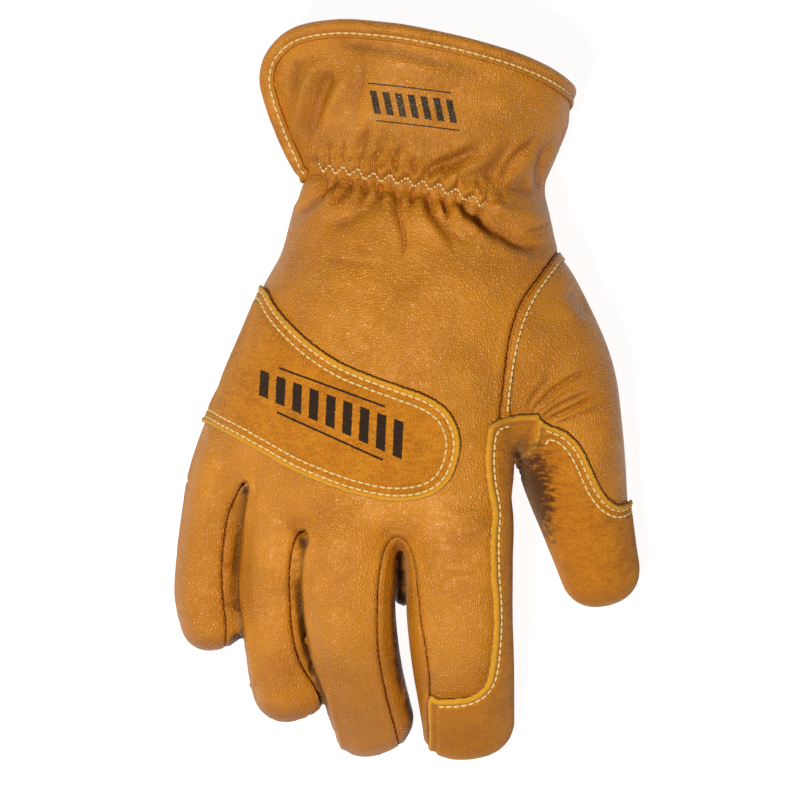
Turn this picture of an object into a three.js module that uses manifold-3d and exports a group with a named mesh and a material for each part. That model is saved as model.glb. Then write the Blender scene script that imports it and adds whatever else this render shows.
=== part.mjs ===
// A right-hand leather work glove lying palm down, in millimetres: +Z up, fingers towards -Y, thumb towards +X.
// Every leather panel is cut from one hollow hand form, and the suede pieces are layers laid over that form.
import * as THREE from "three";
import { mergeVertices } from "three/addons/utils/BufferGeometryUtils.js";
import Module from "manifold-3d";

const wasm = await Module();
wasm.setup();

// Leather
const wall = 1.6; // grain leather
const suede = 1.3; // suede overlays
const seamGap = 0.35; // between two pieces sewn together
const overlayTop = seamGap + suede; // outer face of an overlay, above the leather it lies on
const reach = 200; // further than any part of the glove
const sliver = 0.11; // detail smaller than this is dropped

// Hand body, one row for each cross-section from the finger roots to the cuff's rim. left, right, up and down are how
// far the section reaches from its centre, slant turns it in plan, lean tips its top towards the cuff, roll lifts its
// thumb side, and drop draws its little-finger end back towards the fingers.
const bodyRows = [
  { x: -13, y: -53.4, z: 35, left: 22, right: 24, up: 6, down: 7, slant: -2, lean: 0, roll: 14, drop: 0 },
  { x: -15, y: -48.6, z: 35.5, left: 38, right: 40, up: 12, down: 10, slant: -5, lean: 0, roll: 16, drop: 0 },
  { x: -17, y: -42, z: 36, left: 46, right: 49, up: 15, down: 13, slant: -8, lean: 0, roll: 16, drop: 0 },
  { x: -17.6, y: -30, z: 36, left: 51, right: 53, up: 19, down: 17, slant: -9, lean: 0, roll: 15, drop: 0 },
  { x: -14, y: -8, z: 34, left: 50.5, right: 51, up: 23.5, down: 23, slant: -8, lean: 0, roll: 12, drop: 0 },
  { x: -7.5, y: 11, z: 31.5, left: 49, right: 50, up: 27, down: 27, slant: -8, lean: 0, roll: 9, drop: 0 },
  { x: -1.2, y: 27, z: 29.5, left: 48, right: 50, up: 29, down: 31, slant: -9, lean: 0, roll: 6, drop: 0 },
  { x: 3.4, y: 39, z: 28.5, left: 46.4, right: 48.5, up: 29, down: 31, slant: -8, lean: 0, roll: 4, drop: 0 },
  { x: 4.8, y: 49, z: 28, left: 45, right: 47.4, up: 28, down: 30, slant: -8, lean: 0, roll: 3, drop: 0 },
  { x: 5.6, y: 58, z: 27.5, left: 43.6, right: 44.8, up: 26.5, down: 29.5, slant: -9, lean: 0, roll: 2, drop: 0 },
  { x: 5.2, y: 66, z: 27.5, left: 42.4, right: 43.6, up: 25.5, down: 29, slant: -9, lean: 0.05, roll: 1, drop: 0 },
  { x: 4.6, y: 73.5, z: 28, left: 43.2, right: 41.8, up: 26, down: 29, slant: -8, lean: 0.1, roll: 0, drop: 0 },
  { x: 4.2, y: 80, z: 29, left: 47.2, right: 44.4, up: 28, down: 29.5, slant: -7, lean: 0.2, roll: 0, drop: 0 },
  { x: 3.8, y: 88, z: 30, left: 51.4, right: 48.6, up: 30.5, down: 29.5, slant: -7, lean: 0.3, roll: 0, drop: 0.5 },
  { x: 3.4, y: 95.5, z: 31, left: 53.4, right: 52.4, up: 32, down: 29.2, slant: -8, lean: 0.4, roll: 0, drop: 2 },
  { x: 2.9, y: 101.5, z: 31.6, left: 53, right: 54.6, up: 32.4, down: 29, slant: -9, lean: 0.5, roll: 0, drop: 5 },
];
const bodySides = 40; // points round a body section
const bodyPower = 2.2; // roundness of a section: 2 is an ellipse and more is squarer
const palmLean = 0.3; // share of the lean that the palm side takes

// Gathers that the elastic draws into the back of the wrist, along a line of the glove seen from above
const elastic = { x: -2, y: 66.8, slope: -0.245, from: -32, to: 34 };
const gatherDepth = 1.1;
const gatherReach = 11; // how far from the elastic they fade
const elasticDip = 1.6;

// Fingers and thumb, a row for each section along the centreline. high is the half height, and roll turns the back of
// the finger towards the little-finger side. Where sole is true a suede overlay lies between the leather and the table.
const fingers = {
  little: {
    cap: 10.5,
    rows: [
      { x: -44, y: 14, z: 27, half: 7, high: 7, roll: 20 },
      { x: -54.2, y: -6, z: 25.4, half: 10.4, high: 10.4, roll: 22 },
      { x: -62.8, y: -28, z: 21, half: 10.6, high: 11.2, roll: 24 },
      { x: -66.2, y: -45, z: 16.2, half: 10.6, high: 11.2, roll: 25 },
      { x: -67.9, y: -60, z: 13.6, half: 11, high: 11, roll: 25 },
      { x: -68.4, y: -71, z: 11.8, half: 11.2, high: 10.8, roll: 25 },
      { x: -67.4, y: -79, z: 10, half: 10.6, high: 10.4, roll: 25 },
    ],
  },
  ring: {
    cap: 13.5,
    rows: [
      { x: -42, y: 4, z: 29, half: 11, high: 11, roll: 26 },
      { x: -42.4, y: -30, z: 29.4, half: 12.4, high: 12.4, roll: 30 },
      { x: -42.8, y: -50, z: 26, half: 12.3, high: 12.2, roll: 32 },
      { x: -43.6, y: -68, z: 20.6, half: 12.4, high: 12, roll: 32 },
      { x: -44, y: -84, z: 15.8, half: 12.4, high: 11.6, roll: 32 },
      { x: -42, y: -100, z: 11, half: 12, high: 11, roll: 32 },
    ],
  },
  middle: {
    cap: 13,
    rows: [
      { x: -19.5, y: 0, z: 35.5, half: 13, high: 12, roll: 8 },
      { x: -19.2, y: -36, z: 40.5, half: 15.6, high: 14.6, roll: 10 },
      { x: -19.4, y: -60, z: 40.5, half: 16, high: 14.6, roll: 11 },
      { x: -18.8, y: -77, z: 36, half: 16, high: 14.4, roll: 11 },
      { x: -16.4, y: -96, z: 26, half: 14.7, high: 13.4, roll: 10 },
      { x: -12.5, y: -112.5, z: 14.2, half: 14, high: 12.4, roll: 9 },
    ],
  },
  index: {
    cap: 11.6,
    sole: true,
    rows: [
      { x: 12, y: 0, z: 36, half: 14, high: 12, roll: 0 },
      { x: 16, y: -38, z: 42, half: 17.6, high: 15.4, roll: 0 },
      { x: 16.3, y: -58, z: 41.5, half: 17.8, high: 15.2, roll: 0 },
      { x: 16.4, y: -76, z: 37, half: 17.7, high: 15, roll: 0 },
      { x: 18.4, y: -94, z: 29.4, half: 16.5, high: 14.2, roll: 0 },
      { x: 20.4, y: -113, z: 15.8, half: 15.1, high: 13, roll: 0 },
    ],
  },
  thumb: {
    cap: 13,
    sole: true,
    rows: [
      { x: 30, y: 46, z: 27, half: 12, high: 14, roll: 0 },
      { x: 38, y: 34.5, z: 27, half: 17.4, high: 19.6, roll: 0 },
      { x: 45, y: 22, z: 27, half: 18.6, high: 21, roll: -2 },
      { x: 51, y: 6, z: 26, half: 19.4, high: 20.5, roll: -4 },
      { x: 54.4, y: -12, z: 24.5, half: 18.8, high: 19.6, roll: -6 },
      { x: 57.8, y: -29, z: 21.6, half: 17.2, high: 17.6, roll: -6 },
      { x: 61.6, y: -45, z: 18.6, half: 14.6, high: 15.2, roll: -6 },
      { x: 65.8, y: -60.4, z: 15.2, half: 12.6, high: 12.8, roll: -6 },
    ],
  },
  thumbRoot: {
    cap: 12,
    rows: [
      { x: 16, y: 50, z: 29, half: 12, high: 14, roll: 0 },
      { x: 29, y: 28, z: 29.5, half: 21, high: 23.5, roll: 0 },
      { x: 36, y: 9, z: 29.5, half: 21.5, high: 23, roll: 0 },
      { x: 39, y: -8, z: 29, half: 18.5, high: 19.5, roll: 0 },
    ],
  },
};
const fingerSides = 14;
const fingerPower = 2.4;
const capSteps = [0.35, 0.65, 0.85, 0.97]; // how far along the rounded end each ring of a fingertip lies

// Fourchettes: the strips between two fingers. left and right are the seams seen from above, from the crotch out, and
// tuck is how much further they reach to the right under the ridge of the next finger.
const fourchettes = {
  fourchette_ring_little: {
    top: [[-57, -32], [-55.2, -31.6]],
    left: [[-57.8, -34.5], [-60.4, -42.2], [-61.9, -51.4], [-62.8, -62], [-62.3, -73.2], [-61.5, -86.4], [-64, -94]],
    right: [[-53.6, -34.5], [-54.6, -42], [-55.6, -52.5], [-56.4, -66], [-57.6, -78], [-58, -90], [-58, -94]],
    tuck: [[-53.6, -34.5], [-53.2, -42], [-52.6, -52.5], [-52.6, -66], [-53.2, -78], [-53, -90], [-49, -104],
      [-42, -118], [-58, -118], [-58, -60], [-55, -40]],
  },
  fourchette_middle_ring: {
    top: [[-36.4, -48.3], [-34, -47.9]],
    left: [[-38.3, -51.1], [-39.4, -60], [-39.4, -71.8], [-39.2, -80], [-37, -92.5], [-33.7, -98.5], [-30.8, -104.2],
      [-29.3, -114]],
    right: [[-32.6, -51], [-34, -58.5], [-35.2, -66], [-35.6, -78], [-33.6, -89], [-30.8, -99.6], [-28.6, -107],
      [-28.4, -114]],
    tuck: [[-32.6, -51], [-31.8, -58.5], [-31.4, -66], [-31.4, -78], [-29.4, -89], [-26.6, -99.6], [-24, -110],
      [-19, -128], [-29, -128], [-35, -94], [-35.6, -78], [-34.4, -60]],
  },
  fourchette_index_middle: {
    top: [[-5.8, -50], [-1.6, -50]],
    left: [[-8, -53.4], [-9.6, -62.5], [-10.1, -75], [-9.7, -86.6], [-8, -99.7], [-4, -116.9], [-1.4, -130]],
    right: [[1, -53.9], [3.2, -66], [4.4, -78], [7.2, -94], [7.8, -104], [8.2, -116], [10.6, -131]],
  },
};
const ridge = 2; // height above the side seam of the edge that tucked strips stay under

// Palm side: where the four finger fronts, sewn to the palm across their roots, begin, and the fronts from thumb side
const fingerRoots = [[-100, -28], [-55.4, -34.4], [-35.4, -50.4], [-3.4, -52.4], [46, -26], [100, -26]];
const fingerFronts = ["index_front", "middle_front", "ring_front", "little_front"];

// Outlines seen from above: the thumb panel, and the suede overlays with where they wrap past the glove's side
const thumbOutline = [
  [60, 52], [52.2, 44.8], [46, 34.3], [40.8, 24.2], [37.4, 15.9], [35.4, 5.9], [34, -4.6], [33.6, -12],
  [34.4, -20], [37.4, -28], [37.6, -40], [41, -55], [50, -70], [70, -95], [110, -95], [110, 52],
];
const knucklePatchOutline = [
  [-54, 34.4], [-46.9, 33.2], [-44.1, 28], [-39.2, 22.1], [-31.6, 15], [-22.1, 8.6], [-12.2, 4.3], [-2.3, 0.6],
  [5.9, -2.4], [12.5, -6.6], [16.5, -12.2], [17.8, -18.8], [16.5, -26.4], [13.2, -32], [7.6, -36], [0.3, -37.4],
  [-7.3, -37.1], [-18.9, -34.8], [-28.9, -31.3], [-39, -26.7], [-48.6, -21.5], [-58, -16.5], [-67.2, -12.2],
  [-84, -6], [-80, 34.4],
];
const indexOverlayOutline = [
  [26.4, -12.3], [30.8, -10], [35.8, -9], [41, -8.8], [45, -9.8], [44.4, -13], [38, -27.4], [37.8, -40],
  [41, -55], [46, -70], [46, -140], [12, -140], [10.6, -131], [8.7, -116], [8.3, -104], [11.2, -103.6],
  [16.3, -103.4], [21.3, -102.2], [24.7, -99.2], [26.6, -93], [27.1, -84.2], [26.6, -70.3], [26.2, -56.9],
  [26.4, -47], [25.4, -37.1], [24.8, -27.1], [25.1, -17.2],
];
const thumbOverlayOutline = [
  [46.2, -12.4], [51.1, -14.7], [56.2, -17.4], [60.3, -22.4], [63.2, -28.2], [65.8, -34.3], [68.7, -39.5],
  [72.5, -42], [76.1, -39.8], [80, -37.4], [100, -37], [100, -100], [58, -100], [50, -72], [42, -56],
  [38.8, -41], [38.9, -28.2], [45.4, -13.6],
];

// Cuff: the slit on the little-finger side, and the strip bound round the edge
const slitStartRow = 9.5; // body row, counted in fractions, where the slit begins
const slitUp = 9; // degrees of the section above its left end at the rim
const slitDown = 30;
const bindingWidth = 7; // on each face of the leather
const bindingLeather = 1.2;
const bindingNose = 1.6; // how far its fold stands past the edge
const bindingGap = 0.35;

// Strip set into the seam between the back and the thumb panel, along points of that seam from the wrist down
const weltWidth = 2.4;
const weltHigh = 1.6;
const weltRoute = [[52.6, 45.6], [46, 34.3], [40.8, 24.2], [37.4, 15.9], [35.4, 5.9], [34.2, -3], [33.9, -8.2]];
const weltInset = 1.5; // from the seam line towards the thumb

// Where the whole glove is moved so that the middle of its outline is at the origin
const placeX = -0.3;
const placeY = 3.1;

const radians = THREE.MathUtils.degToRad;
const lerp = THREE.MathUtils.lerp;

// A closed mesh through rings of points, each with a flat fan at its two ends, with its faces pointing out
function loftGeometry(rings) {
  const count = rings[0].length;
  const points = rings.flat();
  const first = points.length;
  const last = first + 1;
  const middleOf = (ring) => ring.reduce((sum, p) => sum.add(p), new THREE.Vector3()).divideScalar(count);
  points.push(middleOf(rings[0]), middleOf(rings.at(-1)));
  const faces = [];
  for (let r = 0; r < rings.length - 1; r++) {
    for (let i = 0; i < count; i++) {
      const j = (i + 1) % count;
      const a = r * count + i;
      const b = r * count + j;
      faces.push(a, b, b + count, a, b + count, a + count);
    }
  }
  for (let i = 0; i < count; i++) {
    const j = (i + 1) % count;
    const end = (rings.length - 1) * count;
    faces.push(first, j, i, last, end + i, end + j);
  }
  const geometry = new THREE.BufferGeometry().setFromPoints(points);
  geometry.setIndex(signedVolume(points, faces) < 0 ? faces.reverse() : faces);
  return geometry;
}

function signedVolume(points, faces) {
  let volume = 0;
  const cross = new THREE.Vector3();
  for (let i = 0; i < faces.length; i += 3) {
    cross.crossVectors(points[faces[i + 1]], points[faces[i + 2]]);
    volume += points[faces[i]].dot(cross) / 6;
  }
  return volume;
}

function solidOf(geometry) {
  const bare = new THREE.BufferGeometry().setAttribute("position", geometry.getAttribute("position"));
  bare.setIndex(geometry.getIndex());
  const merged = mergeVertices(bare, 1e-3);
  const mesh = new wasm.Mesh({
    numProp: 3,
    vertProperties: merged.attributes.position.array,
    triVerts: new Uint32Array(merged.index.array),
  });
  return new wasm.Manifold(mesh);
}

const loft = (rings) => solidOf(loftGeometry(rings));

// Moves each point of an outline outwards by grow, and makes a tall prism of it from low to high
function prism(outline, grow = 0, low = -reach, high = reach) {
  const flat = outline.map(([x, y]) => new THREE.Vector2(x, y));
  if (THREE.ShapeUtils.area(flat) < 0) flat.reverse();
  const moved = flat.map((point, i) => {
    const before = flat.at(i - 1);
    const after = flat[(i + 1) % flat.length];
    const inward = new THREE.Vector2().subVectors(point, before).normalize();
    const onward = new THREE.Vector2().subVectors(after, point).normalize();
    const normal = new THREE.Vector2(inward.y + onward.y, -inward.x - onward.x).normalize();
    const mitre = Math.max(0.5, normal.x * onward.y - normal.y * onward.x);
    return point.clone().addScaledVector(normal, grow / mitre);
  });
  const geometry = new THREE.ExtrudeGeometry(new THREE.Shape(moved), { depth: high - low, bevelEnabled: false });
  return solidOf(weld(geometry.translate(0, 0, low)));
}

// The same mesh with one vertex at each place
function weld(geometry) {
  const bare = new THREE.BufferGeometry().setAttribute("position", geometry.getAttribute("position"));
  return mergeVertices(bare, 1e-4);
}

// A superellipse point at an angle. reaches holds how far it goes right, up, left and down.
function sectionPoint(angle, [right, up, left, down], power, offset) {
  const c = Math.cos(angle);
  const s = Math.sin(angle);
  const u = ((c > 0 ? right : left) + offset) * Math.sign(c) * Math.abs(c) ** (2 / power);
  const w = ((s > 0 ? up : down) + offset) * Math.sign(s) * Math.abs(s) ** (2 / power);
  return [u, w];
}

// The body row at a fraction between two rows; past the last row it goes on in the same direction
function bodyRowAt(at) {
  const i = Math.min(Math.floor(at), bodyRows.length - 2);
  const row = {};
  for (const key of Object.keys(bodyRows[0])) row[key] = lerp(bodyRows[i][key], bodyRows[i + 1][key], at - i);
  return row;
}

// How far a point of the back moves in or out beside the elastic; crest tells folds from valleys
function gatherLift(x, y, crest) {
  const away = (y - elastic.y - elastic.slope * (x - elastic.x)) / gatherReach;
  const ends = THREE.MathUtils.smoothstep(x, elastic.from - 8, elastic.from + 4)
    * (1 - THREE.MathUtils.smoothstep(x, elastic.to - 4, elastic.to + 10));
  return ends * (gatherDepth * crest * Math.exp(-away * away) - elasticDip * Math.exp(-away * away * 6));
}

// A point of the body's surface, at an offset outside it
function bodyPoint(at, angle, offset) {
  const row = bodyRowAt(at);
  const [u, w] = sectionPoint(angle, [row.right, row.up, row.left, row.down], bodyPower, offset);
  const roll = radians(row.roll);
  const slant = radians(row.slant);
  const across = u * Math.cos(roll) - w * Math.sin(roll);
  const high = u * Math.sin(roll) + w * Math.cos(roll);
  const leaning = row.lean * (high > 0 ? high : high * palmLean);
  const drop = row.drop * Math.max(0, -u / row.left) ** 3;
  const point = new THREE.Vector3(
    row.x + across * Math.cos(slant),
    row.y + across * Math.sin(slant) + leaning - drop,
    row.z + high,
  );
  const step = Math.round((angle / (2 * Math.PI)) * bodySides);
  if (Math.sin(angle) > 0.2) point.z += gatherLift(point.x, point.y, step % 2 ? -1 : 1);
  return point;
}

function bodyRing(at, offset) {
  return Array.from({ length: bodySides }, (_, i) => bodyPoint(at, (i / bodySides) * 2 * Math.PI, offset));
}

// extra carries the form past the rim, so that an inner form opens the cuff
function bodyForm(offset, extra) {
  const rings = bodyRows.map((_, i) => bodyRing(i, offset));
  for (const point of rings[0]) point.y -= offset;
  if (extra > 0) rings.push(bodyRing(bodyRows.length - 1 + extra, offset));
  return loft(rings);
}

// Rings along a finger: its rows joined by a smooth centreline, then a rounded end
function fingerForm(finger, offset) {
  const { rows, cap } = finger;
  const centre = new THREE.CatmullRomCurve3(rows.map((r) => new THREE.Vector3(r.x, r.y, r.z)));
  const ringAt = (point, along, row, shrink) => {
    const side = new THREE.Vector3(0, 0, 1).cross(along).normalize().negate();
    const up = new THREE.Vector3().crossVectors(side, along).normalize();
    if (up.z < 0) up.negate();
    const roll = radians(row.roll);
    return Array.from({ length: fingerSides }, (_, i) => {
      const angle = ((i + 0.5) / fingerSides) * 2 * Math.PI;
      const [u, w] = sectionPoint(angle, [row.half, row.high, row.half, row.high], fingerPower, offset);
      const across = (u * Math.cos(roll) - w * Math.sin(roll)) * shrink;
      const above = (u * Math.sin(roll) + w * Math.cos(roll)) * shrink;
      return point.clone().addScaledVector(side, across).addScaledVector(up, above);
    });
  };
  const rings = rows.map((row, i) => {
    const t = i / (rows.length - 1);
    return ringAt(centre.getPoint(t), centre.getTangent(t), row, 1);
  });
  const end = centre.getPoint(1);
  const along = centre.getTangent(1);
  for (const step of capSteps) {
    const shrink = (1 - step ** 2.4) ** (1 / 2.4);
    rings.push(ringAt(end.clone().addScaledVector(along, (cap + offset) * step), along, rows.at(-1), shrink));
  }
  return loft(rings);
}

const above = (z) => loft([z, reach].map((level) => [
  new THREE.Vector3(-reach, -reach, level), new THREE.Vector3(reach, -reach, level),
  new THREE.Vector3(reach, reach, level), new THREE.Vector3(-reach, reach, level),
]));

// The whole hand as one solid, outside the leather by offset and flattened where it rests
function handForm(offset, extra = 0) {
  let form = bodyForm(offset, extra).intersect(above(-offset));
  for (const finger of Object.values(fingers)) {
    form = form.add(fingerForm(finger, offset).intersect(above((finger.sole ? overlayTop : 0) - offset)));
  }
  return form;
}

// Everything above the side seam: a surface at mid height that follows the body and the fingers down
const seamColumns = [
  { x: -reach, rows: "little" }, { x: -66, rows: "little" }, { x: -43, rows: "ring" }, { x: -18, rows: "middle" },
  { x: 18, rows: "index" }, { x: reach, rows: "index" },
];
const seamStations = [-150, -125, -112, -100, -88, -76, -64, -52, -40, -26, -10, 8, 27, 49, 66, 88, 140];

function heightAlong(rows, y) {
  if (y <= rows.at(-1).y) return rows.at(-1).z;
  for (let i = 1; i < rows.length; i++) {
    if (y >= rows[i].y) {
      const share = (y - rows[i].y) / (rows[i - 1].y - rows[i].y);
      return lerp(rows[i].z, rows[i - 1].z, share);
    }
  }
  return rows[0].z;
}

function bodyHeight(x, y) {
  const rows = bodyRows;
  let i = 1;
  while (i < rows.length - 1 && rows[i].y < y) i++;
  const share = THREE.MathUtils.clamp((y - rows[i - 1].y) / (rows[i].y - rows[i - 1].y), 0, 1);
  const row = bodyRowAt(i - 1 + share);
  return row.z + THREE.MathUtils.clamp(x - row.x, -row.left, row.right) * Math.tan(radians(row.roll));
}

function seamHeight(column, y) {
  const rows = fingers[column.rows].rows;
  const onFinger = THREE.MathUtils.smoothstep(-y, 10, 40);
  return lerp(bodyHeight(column.x, y), heightAlong(rows, y), onFinger);
}

function aboveSeam(lift) {
  const rings = seamStations.map((y) => {
    const ring = seamColumns.map((column) => new THREE.Vector3(column.x, y, seamHeight(column, y) + lift));
    return [...ring, new THREE.Vector3(reach, y, reach), new THREE.Vector3(-reach, y, reach)];
  });
  return loft(rings);
}

// The slit in the cuff at a body row: the angles of its two edges, and how much wider than the slit they are
function slitAngles(at, grow) {
  const open = THREE.MathUtils.clamp((at - slitStartRow) / (bodyRows.length - 1 - slitStartRow), 0, 1.4);
  return [Math.PI - radians(slitUp * open + grow), Math.PI + radians(slitDown * open + grow)];
}

function slitCutter(grow) {
  const steps = [slitStartRow, 10, 11, 12, 13, 14, 14.9];
  return loft(steps.map((at) => {
    const row = bodyRowAt(at);
    const hub = new THREE.Vector3(row.x - row.left * 0.3, row.y, row.z);
    const out = (p) => p.sub(hub).multiplyScalar(1.5).add(hub);
    const [low, high] = slitAngles(at, grow).map((angle) => out(bodyPoint(at, angle, 0)));
    return [hub, low, high];
  }));
}

// A strip with a C-shaped section, folded round the edge of the cuff along a route of body points
function cuffBinding() {
  const rim = bodyRows.length - 1;
  const corner = radians(8);
  const [upper, lower] = [slitAngles(rim, 0)[0], slitAngles(rim, 0)[1] - 2 * Math.PI];
  const slitSteps = [10, 11, 12, 12.8];
  const route = slitSteps.map((at) => ({ at, angle: slitAngles(at, 0)[0], ways: [[0, -1]] }));
  route.push({ at: rim, angle: upper, ways: [[0, -1], [-1, 0]] });
  for (let i = bodySides / 2; i > -bodySides / 2; i--) {
    const angle = (i / bodySides) * 2 * Math.PI;
    if (angle < upper - corner && angle > lower + corner) route.push({ at: rim, angle, ways: [[-1, 0]] });
  }
  route.push({ at: rim, angle: lower, ways: [[-1, 0], [0, 1]] });
  for (const at of slitSteps.toReversed()) {
    route.push({ at, angle: slitAngles(at, 0)[1] - 2 * Math.PI, ways: [[0, 1]] });
  }
  const skin = -wall / 2;
  const face = wall / 2 + bindingGap;
  const outer = face + bindingLeather;
  const nose = bindingGap + bindingNose;
  const profile = [
    [bindingWidth, face], [bindingWidth, outer], [0, outer], [-nose, outer * 0.5], [-nose, -outer * 0.5],
    [0, -outer], [bindingWidth, -outer], [bindingWidth, -face], [-bindingGap, -face], [-bindingGap, face],
  ];
  const frames = route.map(({ at, angle, ways }) => {
    const point = bodyPoint(at, angle, skin);
    const into = new THREE.Vector3();
    for (const [rows, turn] of ways) {
      into.add(bodyPoint(at + rows * 0.3, angle + turn * 0.06, skin).sub(point).normalize());
    }
    into.setLength(ways.length > 1 ? 1.35 : 1);
    const onward = bodyPoint(at, angle + 0.05, skin).sub(bodyPoint(at, angle - 0.05, skin));
    const along = bodyPoint(at + 0.3, angle, skin).sub(bodyPoint(at - 0.3, angle, skin));
    const normal = onward.cross(along).normalize();
    if (normal.dot(bodyPoint(at, angle, 5).sub(point)) < 0) normal.negate();
    return { point, into, normal };
  });
  return loft(frames.map(({ point, into, normal }) => profile.map(([a, b]) => (
    point.clone().addScaledVector(into, a).addScaledVector(normal, b)
  ))));
}

const shell = handForm(0).subtract(handForm(-wall, 0.6)).subtract(slitCutter(0.7));
const layerInside = handForm(seamGap);
const halfGap = seamGap / 2;

// A layer of leather over the hand, within an outline seen from above
function layer(outline, thickness) {
  return handForm(seamGap + thickness).subtract(layerInside).intersect(prism(outline)).intersect(above(0));
}

// A band along a route, as an outline
function band(route, left, right) {
  const line = new THREE.CatmullRomCurve3(route.map(([x, y]) => new THREE.Vector3(x, y, 0)));
  const sides = [left, right].map((away) => Array.from({ length: 11 }, (_, i) => {
    const point = line.getPoint(i / 10);
    const along = line.getTangent(i / 10);
    return [point.x - along.y * away, point.y + along.x * away];
  }));
  return [...sides[0], ...sides[1].toReversed()];
}

// The space of each fourchette, grown by a gap: what shows from above, and what is tucked under the ridge
function stripSpace({ top, left, right, tuck }, grow) {
  const seen = prism([...left.toReversed(), ...top, ...right], grow);
  return tuck ? seen.add(prism(tuck, grow).subtract(aboveSeam(ridge + grow))) : seen;
}

const withoutStrips = Object.values(fourchettes).reduce(
  (rest, strip) => rest.subtract(stripSpace(strip, seamGap)),
  shell.subtract(prism(thumbOutline, seamGap)),
);

// The largest body of a solid, without the slivers that cuts leave
function biggest(solid) {
  const made = solid.asOriginal().simplify(sliver).getMesh();
  const positions = new Float32Array(made.numVert * 3);
  for (let i = 0; i < made.numVert; i++) {
    positions.set(made.vertProperties.subarray(i * made.numProp, i * made.numProp + 3), i * 3);
  }
  const geometry = new THREE.BufferGeometry();
  geometry.setAttribute("position", new THREE.BufferAttribute(positions, 3));
  geometry.setIndex(new THREE.BufferAttribute(made.triVerts, 1));
  const bodies = solidOf(geometry).decompose();
  return bodies.reduce((best, body) => (body.volume() > best.volume() ? body : best));
}

const glove = new THREE.Group();
glove.position.set(placeX, placeY, 0);

function addPiece(name, solid, material) {
  const made = biggest(solid).getMesh();
  const geometry = new THREE.BufferGeometry();
  const positions = new Float32Array(made.numVert * 3);
  for (let i = 0; i < made.numVert; i++) {
    positions.set(made.vertProperties.subarray(i * made.numProp, i * made.numProp + 3), i * 3);
  }
  geometry.setAttribute("position", new THREE.BufferAttribute(positions, 3));
  geometry.setIndex(new THREE.BufferAttribute(made.triVerts, 1));
  const mesh = new THREE.Mesh(geometry, material);
  mesh.name = name;
  glove.add(mesh);
}

const grainLeather = new THREE.MeshStandardMaterial({ color: 0xc4822a, roughness: 0.5, metalness: 0 });
const suedeLeather = new THREE.MeshStandardMaterial({ color: 0xb3741f, roughness: 0.95, metalness: 0 });

addPiece("back_panel", withoutStrips.intersect(aboveSeam(halfGap)), grainLeather);
const palmSide = withoutStrips.subtract(aboveSeam(-halfGap));
const frontsOutline = [...fingerRoots, [100, -reach], [-100, -reach]];
addPiece("palm_panel", palmSide.subtract(prism(frontsOutline, seamGap)), grainLeather);
const middleOf = ({ min, max }) => (min[0] + max[0]) / 2;
const fronts = palmSide.intersect(prism(frontsOutline)).decompose().sort((a, b) => b.volume() - a.volume());
const byPlace = fronts.slice(0, fingerFronts.length)
  .sort((a, b) => middleOf(b.boundingBox()) - middleOf(a.boundingBox()));
fingerFronts.forEach((name, i) => addPiece(name, byPlace[i], grainLeather));
addPiece("thumb_panel", shell.intersect(prism(thumbOutline)), grainLeather);
for (const [name, strip] of Object.entries(fourchettes)) {
  addPiece(name, shell.intersect(stripSpace(strip, 0)), grainLeather);
}
addPiece("knuckle_patch", layer(knucklePatchOutline, suede).intersect(aboveSeam(halfGap)), suedeLeather);
addPiece("index_overlay", layer(indexOverlayOutline, suede), suedeLeather);
addPiece("thumb_overlay", layer(thumbOverlayOutline, suede), suedeLeather);
const weltOutline = band(weltRoute, weltInset - weltWidth / 2, weltInset + weltWidth / 2);
addPiece("thumb_welt", layer(weltOutline, weltHigh).intersect(aboveSeam(3)), grainLeather);
const clearance = handForm(bindingGap, 0.06).subtract(handForm(-wall - bindingGap, 0.6)).subtract(slitCutter(0.1));
addPiece("cuff_binding", cuffBinding().subtract(clearance).intersect(above(0)), grainLeather);

export default glove;
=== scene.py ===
import math
import bmesh
import bpy
import numpy as np
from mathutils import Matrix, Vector
from mathutils.bvhtree import BVHTree
from mathutils.kdtree import KDTree


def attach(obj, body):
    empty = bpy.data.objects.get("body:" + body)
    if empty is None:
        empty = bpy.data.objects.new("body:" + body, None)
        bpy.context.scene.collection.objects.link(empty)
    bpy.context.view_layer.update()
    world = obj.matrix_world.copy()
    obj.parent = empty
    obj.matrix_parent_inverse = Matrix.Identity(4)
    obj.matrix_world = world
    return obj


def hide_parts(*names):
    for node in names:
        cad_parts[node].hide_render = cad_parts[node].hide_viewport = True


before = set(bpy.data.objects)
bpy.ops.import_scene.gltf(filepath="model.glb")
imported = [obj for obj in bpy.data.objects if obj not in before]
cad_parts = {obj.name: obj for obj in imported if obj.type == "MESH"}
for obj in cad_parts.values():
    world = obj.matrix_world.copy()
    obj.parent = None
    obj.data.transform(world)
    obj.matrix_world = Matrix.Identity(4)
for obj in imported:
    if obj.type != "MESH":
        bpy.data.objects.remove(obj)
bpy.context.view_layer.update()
bpy.ops.object.select_all(action="DESELECT")

# Lengths in the tables are millimetres, and seams, folds and stitch rows are drawn in picture units:
# the 800 by 800 squares that the camera sees, 0.335 mm each on a level 40 mm above the table.
viewpoint = {"x": -2.6, "y": -0.9, "height": 1040, "level": 40, "unit": 0.335, "middle": 400, "focal": 134.3}


def smoothStep(value, low, high):
    share = np.clip((value - low) / (high - low), 0, 1)
    return share * share * (3 - 2 * share)


def seenFrom(points):  # where the camera sees each point, in picture units
    unit = viewpoint["unit"] * (viewpoint["height"] - points[:, 2])
    unit = unit / (viewpoint["height"] - viewpoint["level"])
    across = viewpoint["middle"] + (points[:, 0] - viewpoint["x"]) / unit
    down = viewpoint["middle"] - (points[:, 1] - viewpoint["y"]) / unit
    return np.stack([across, down], 1)


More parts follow.
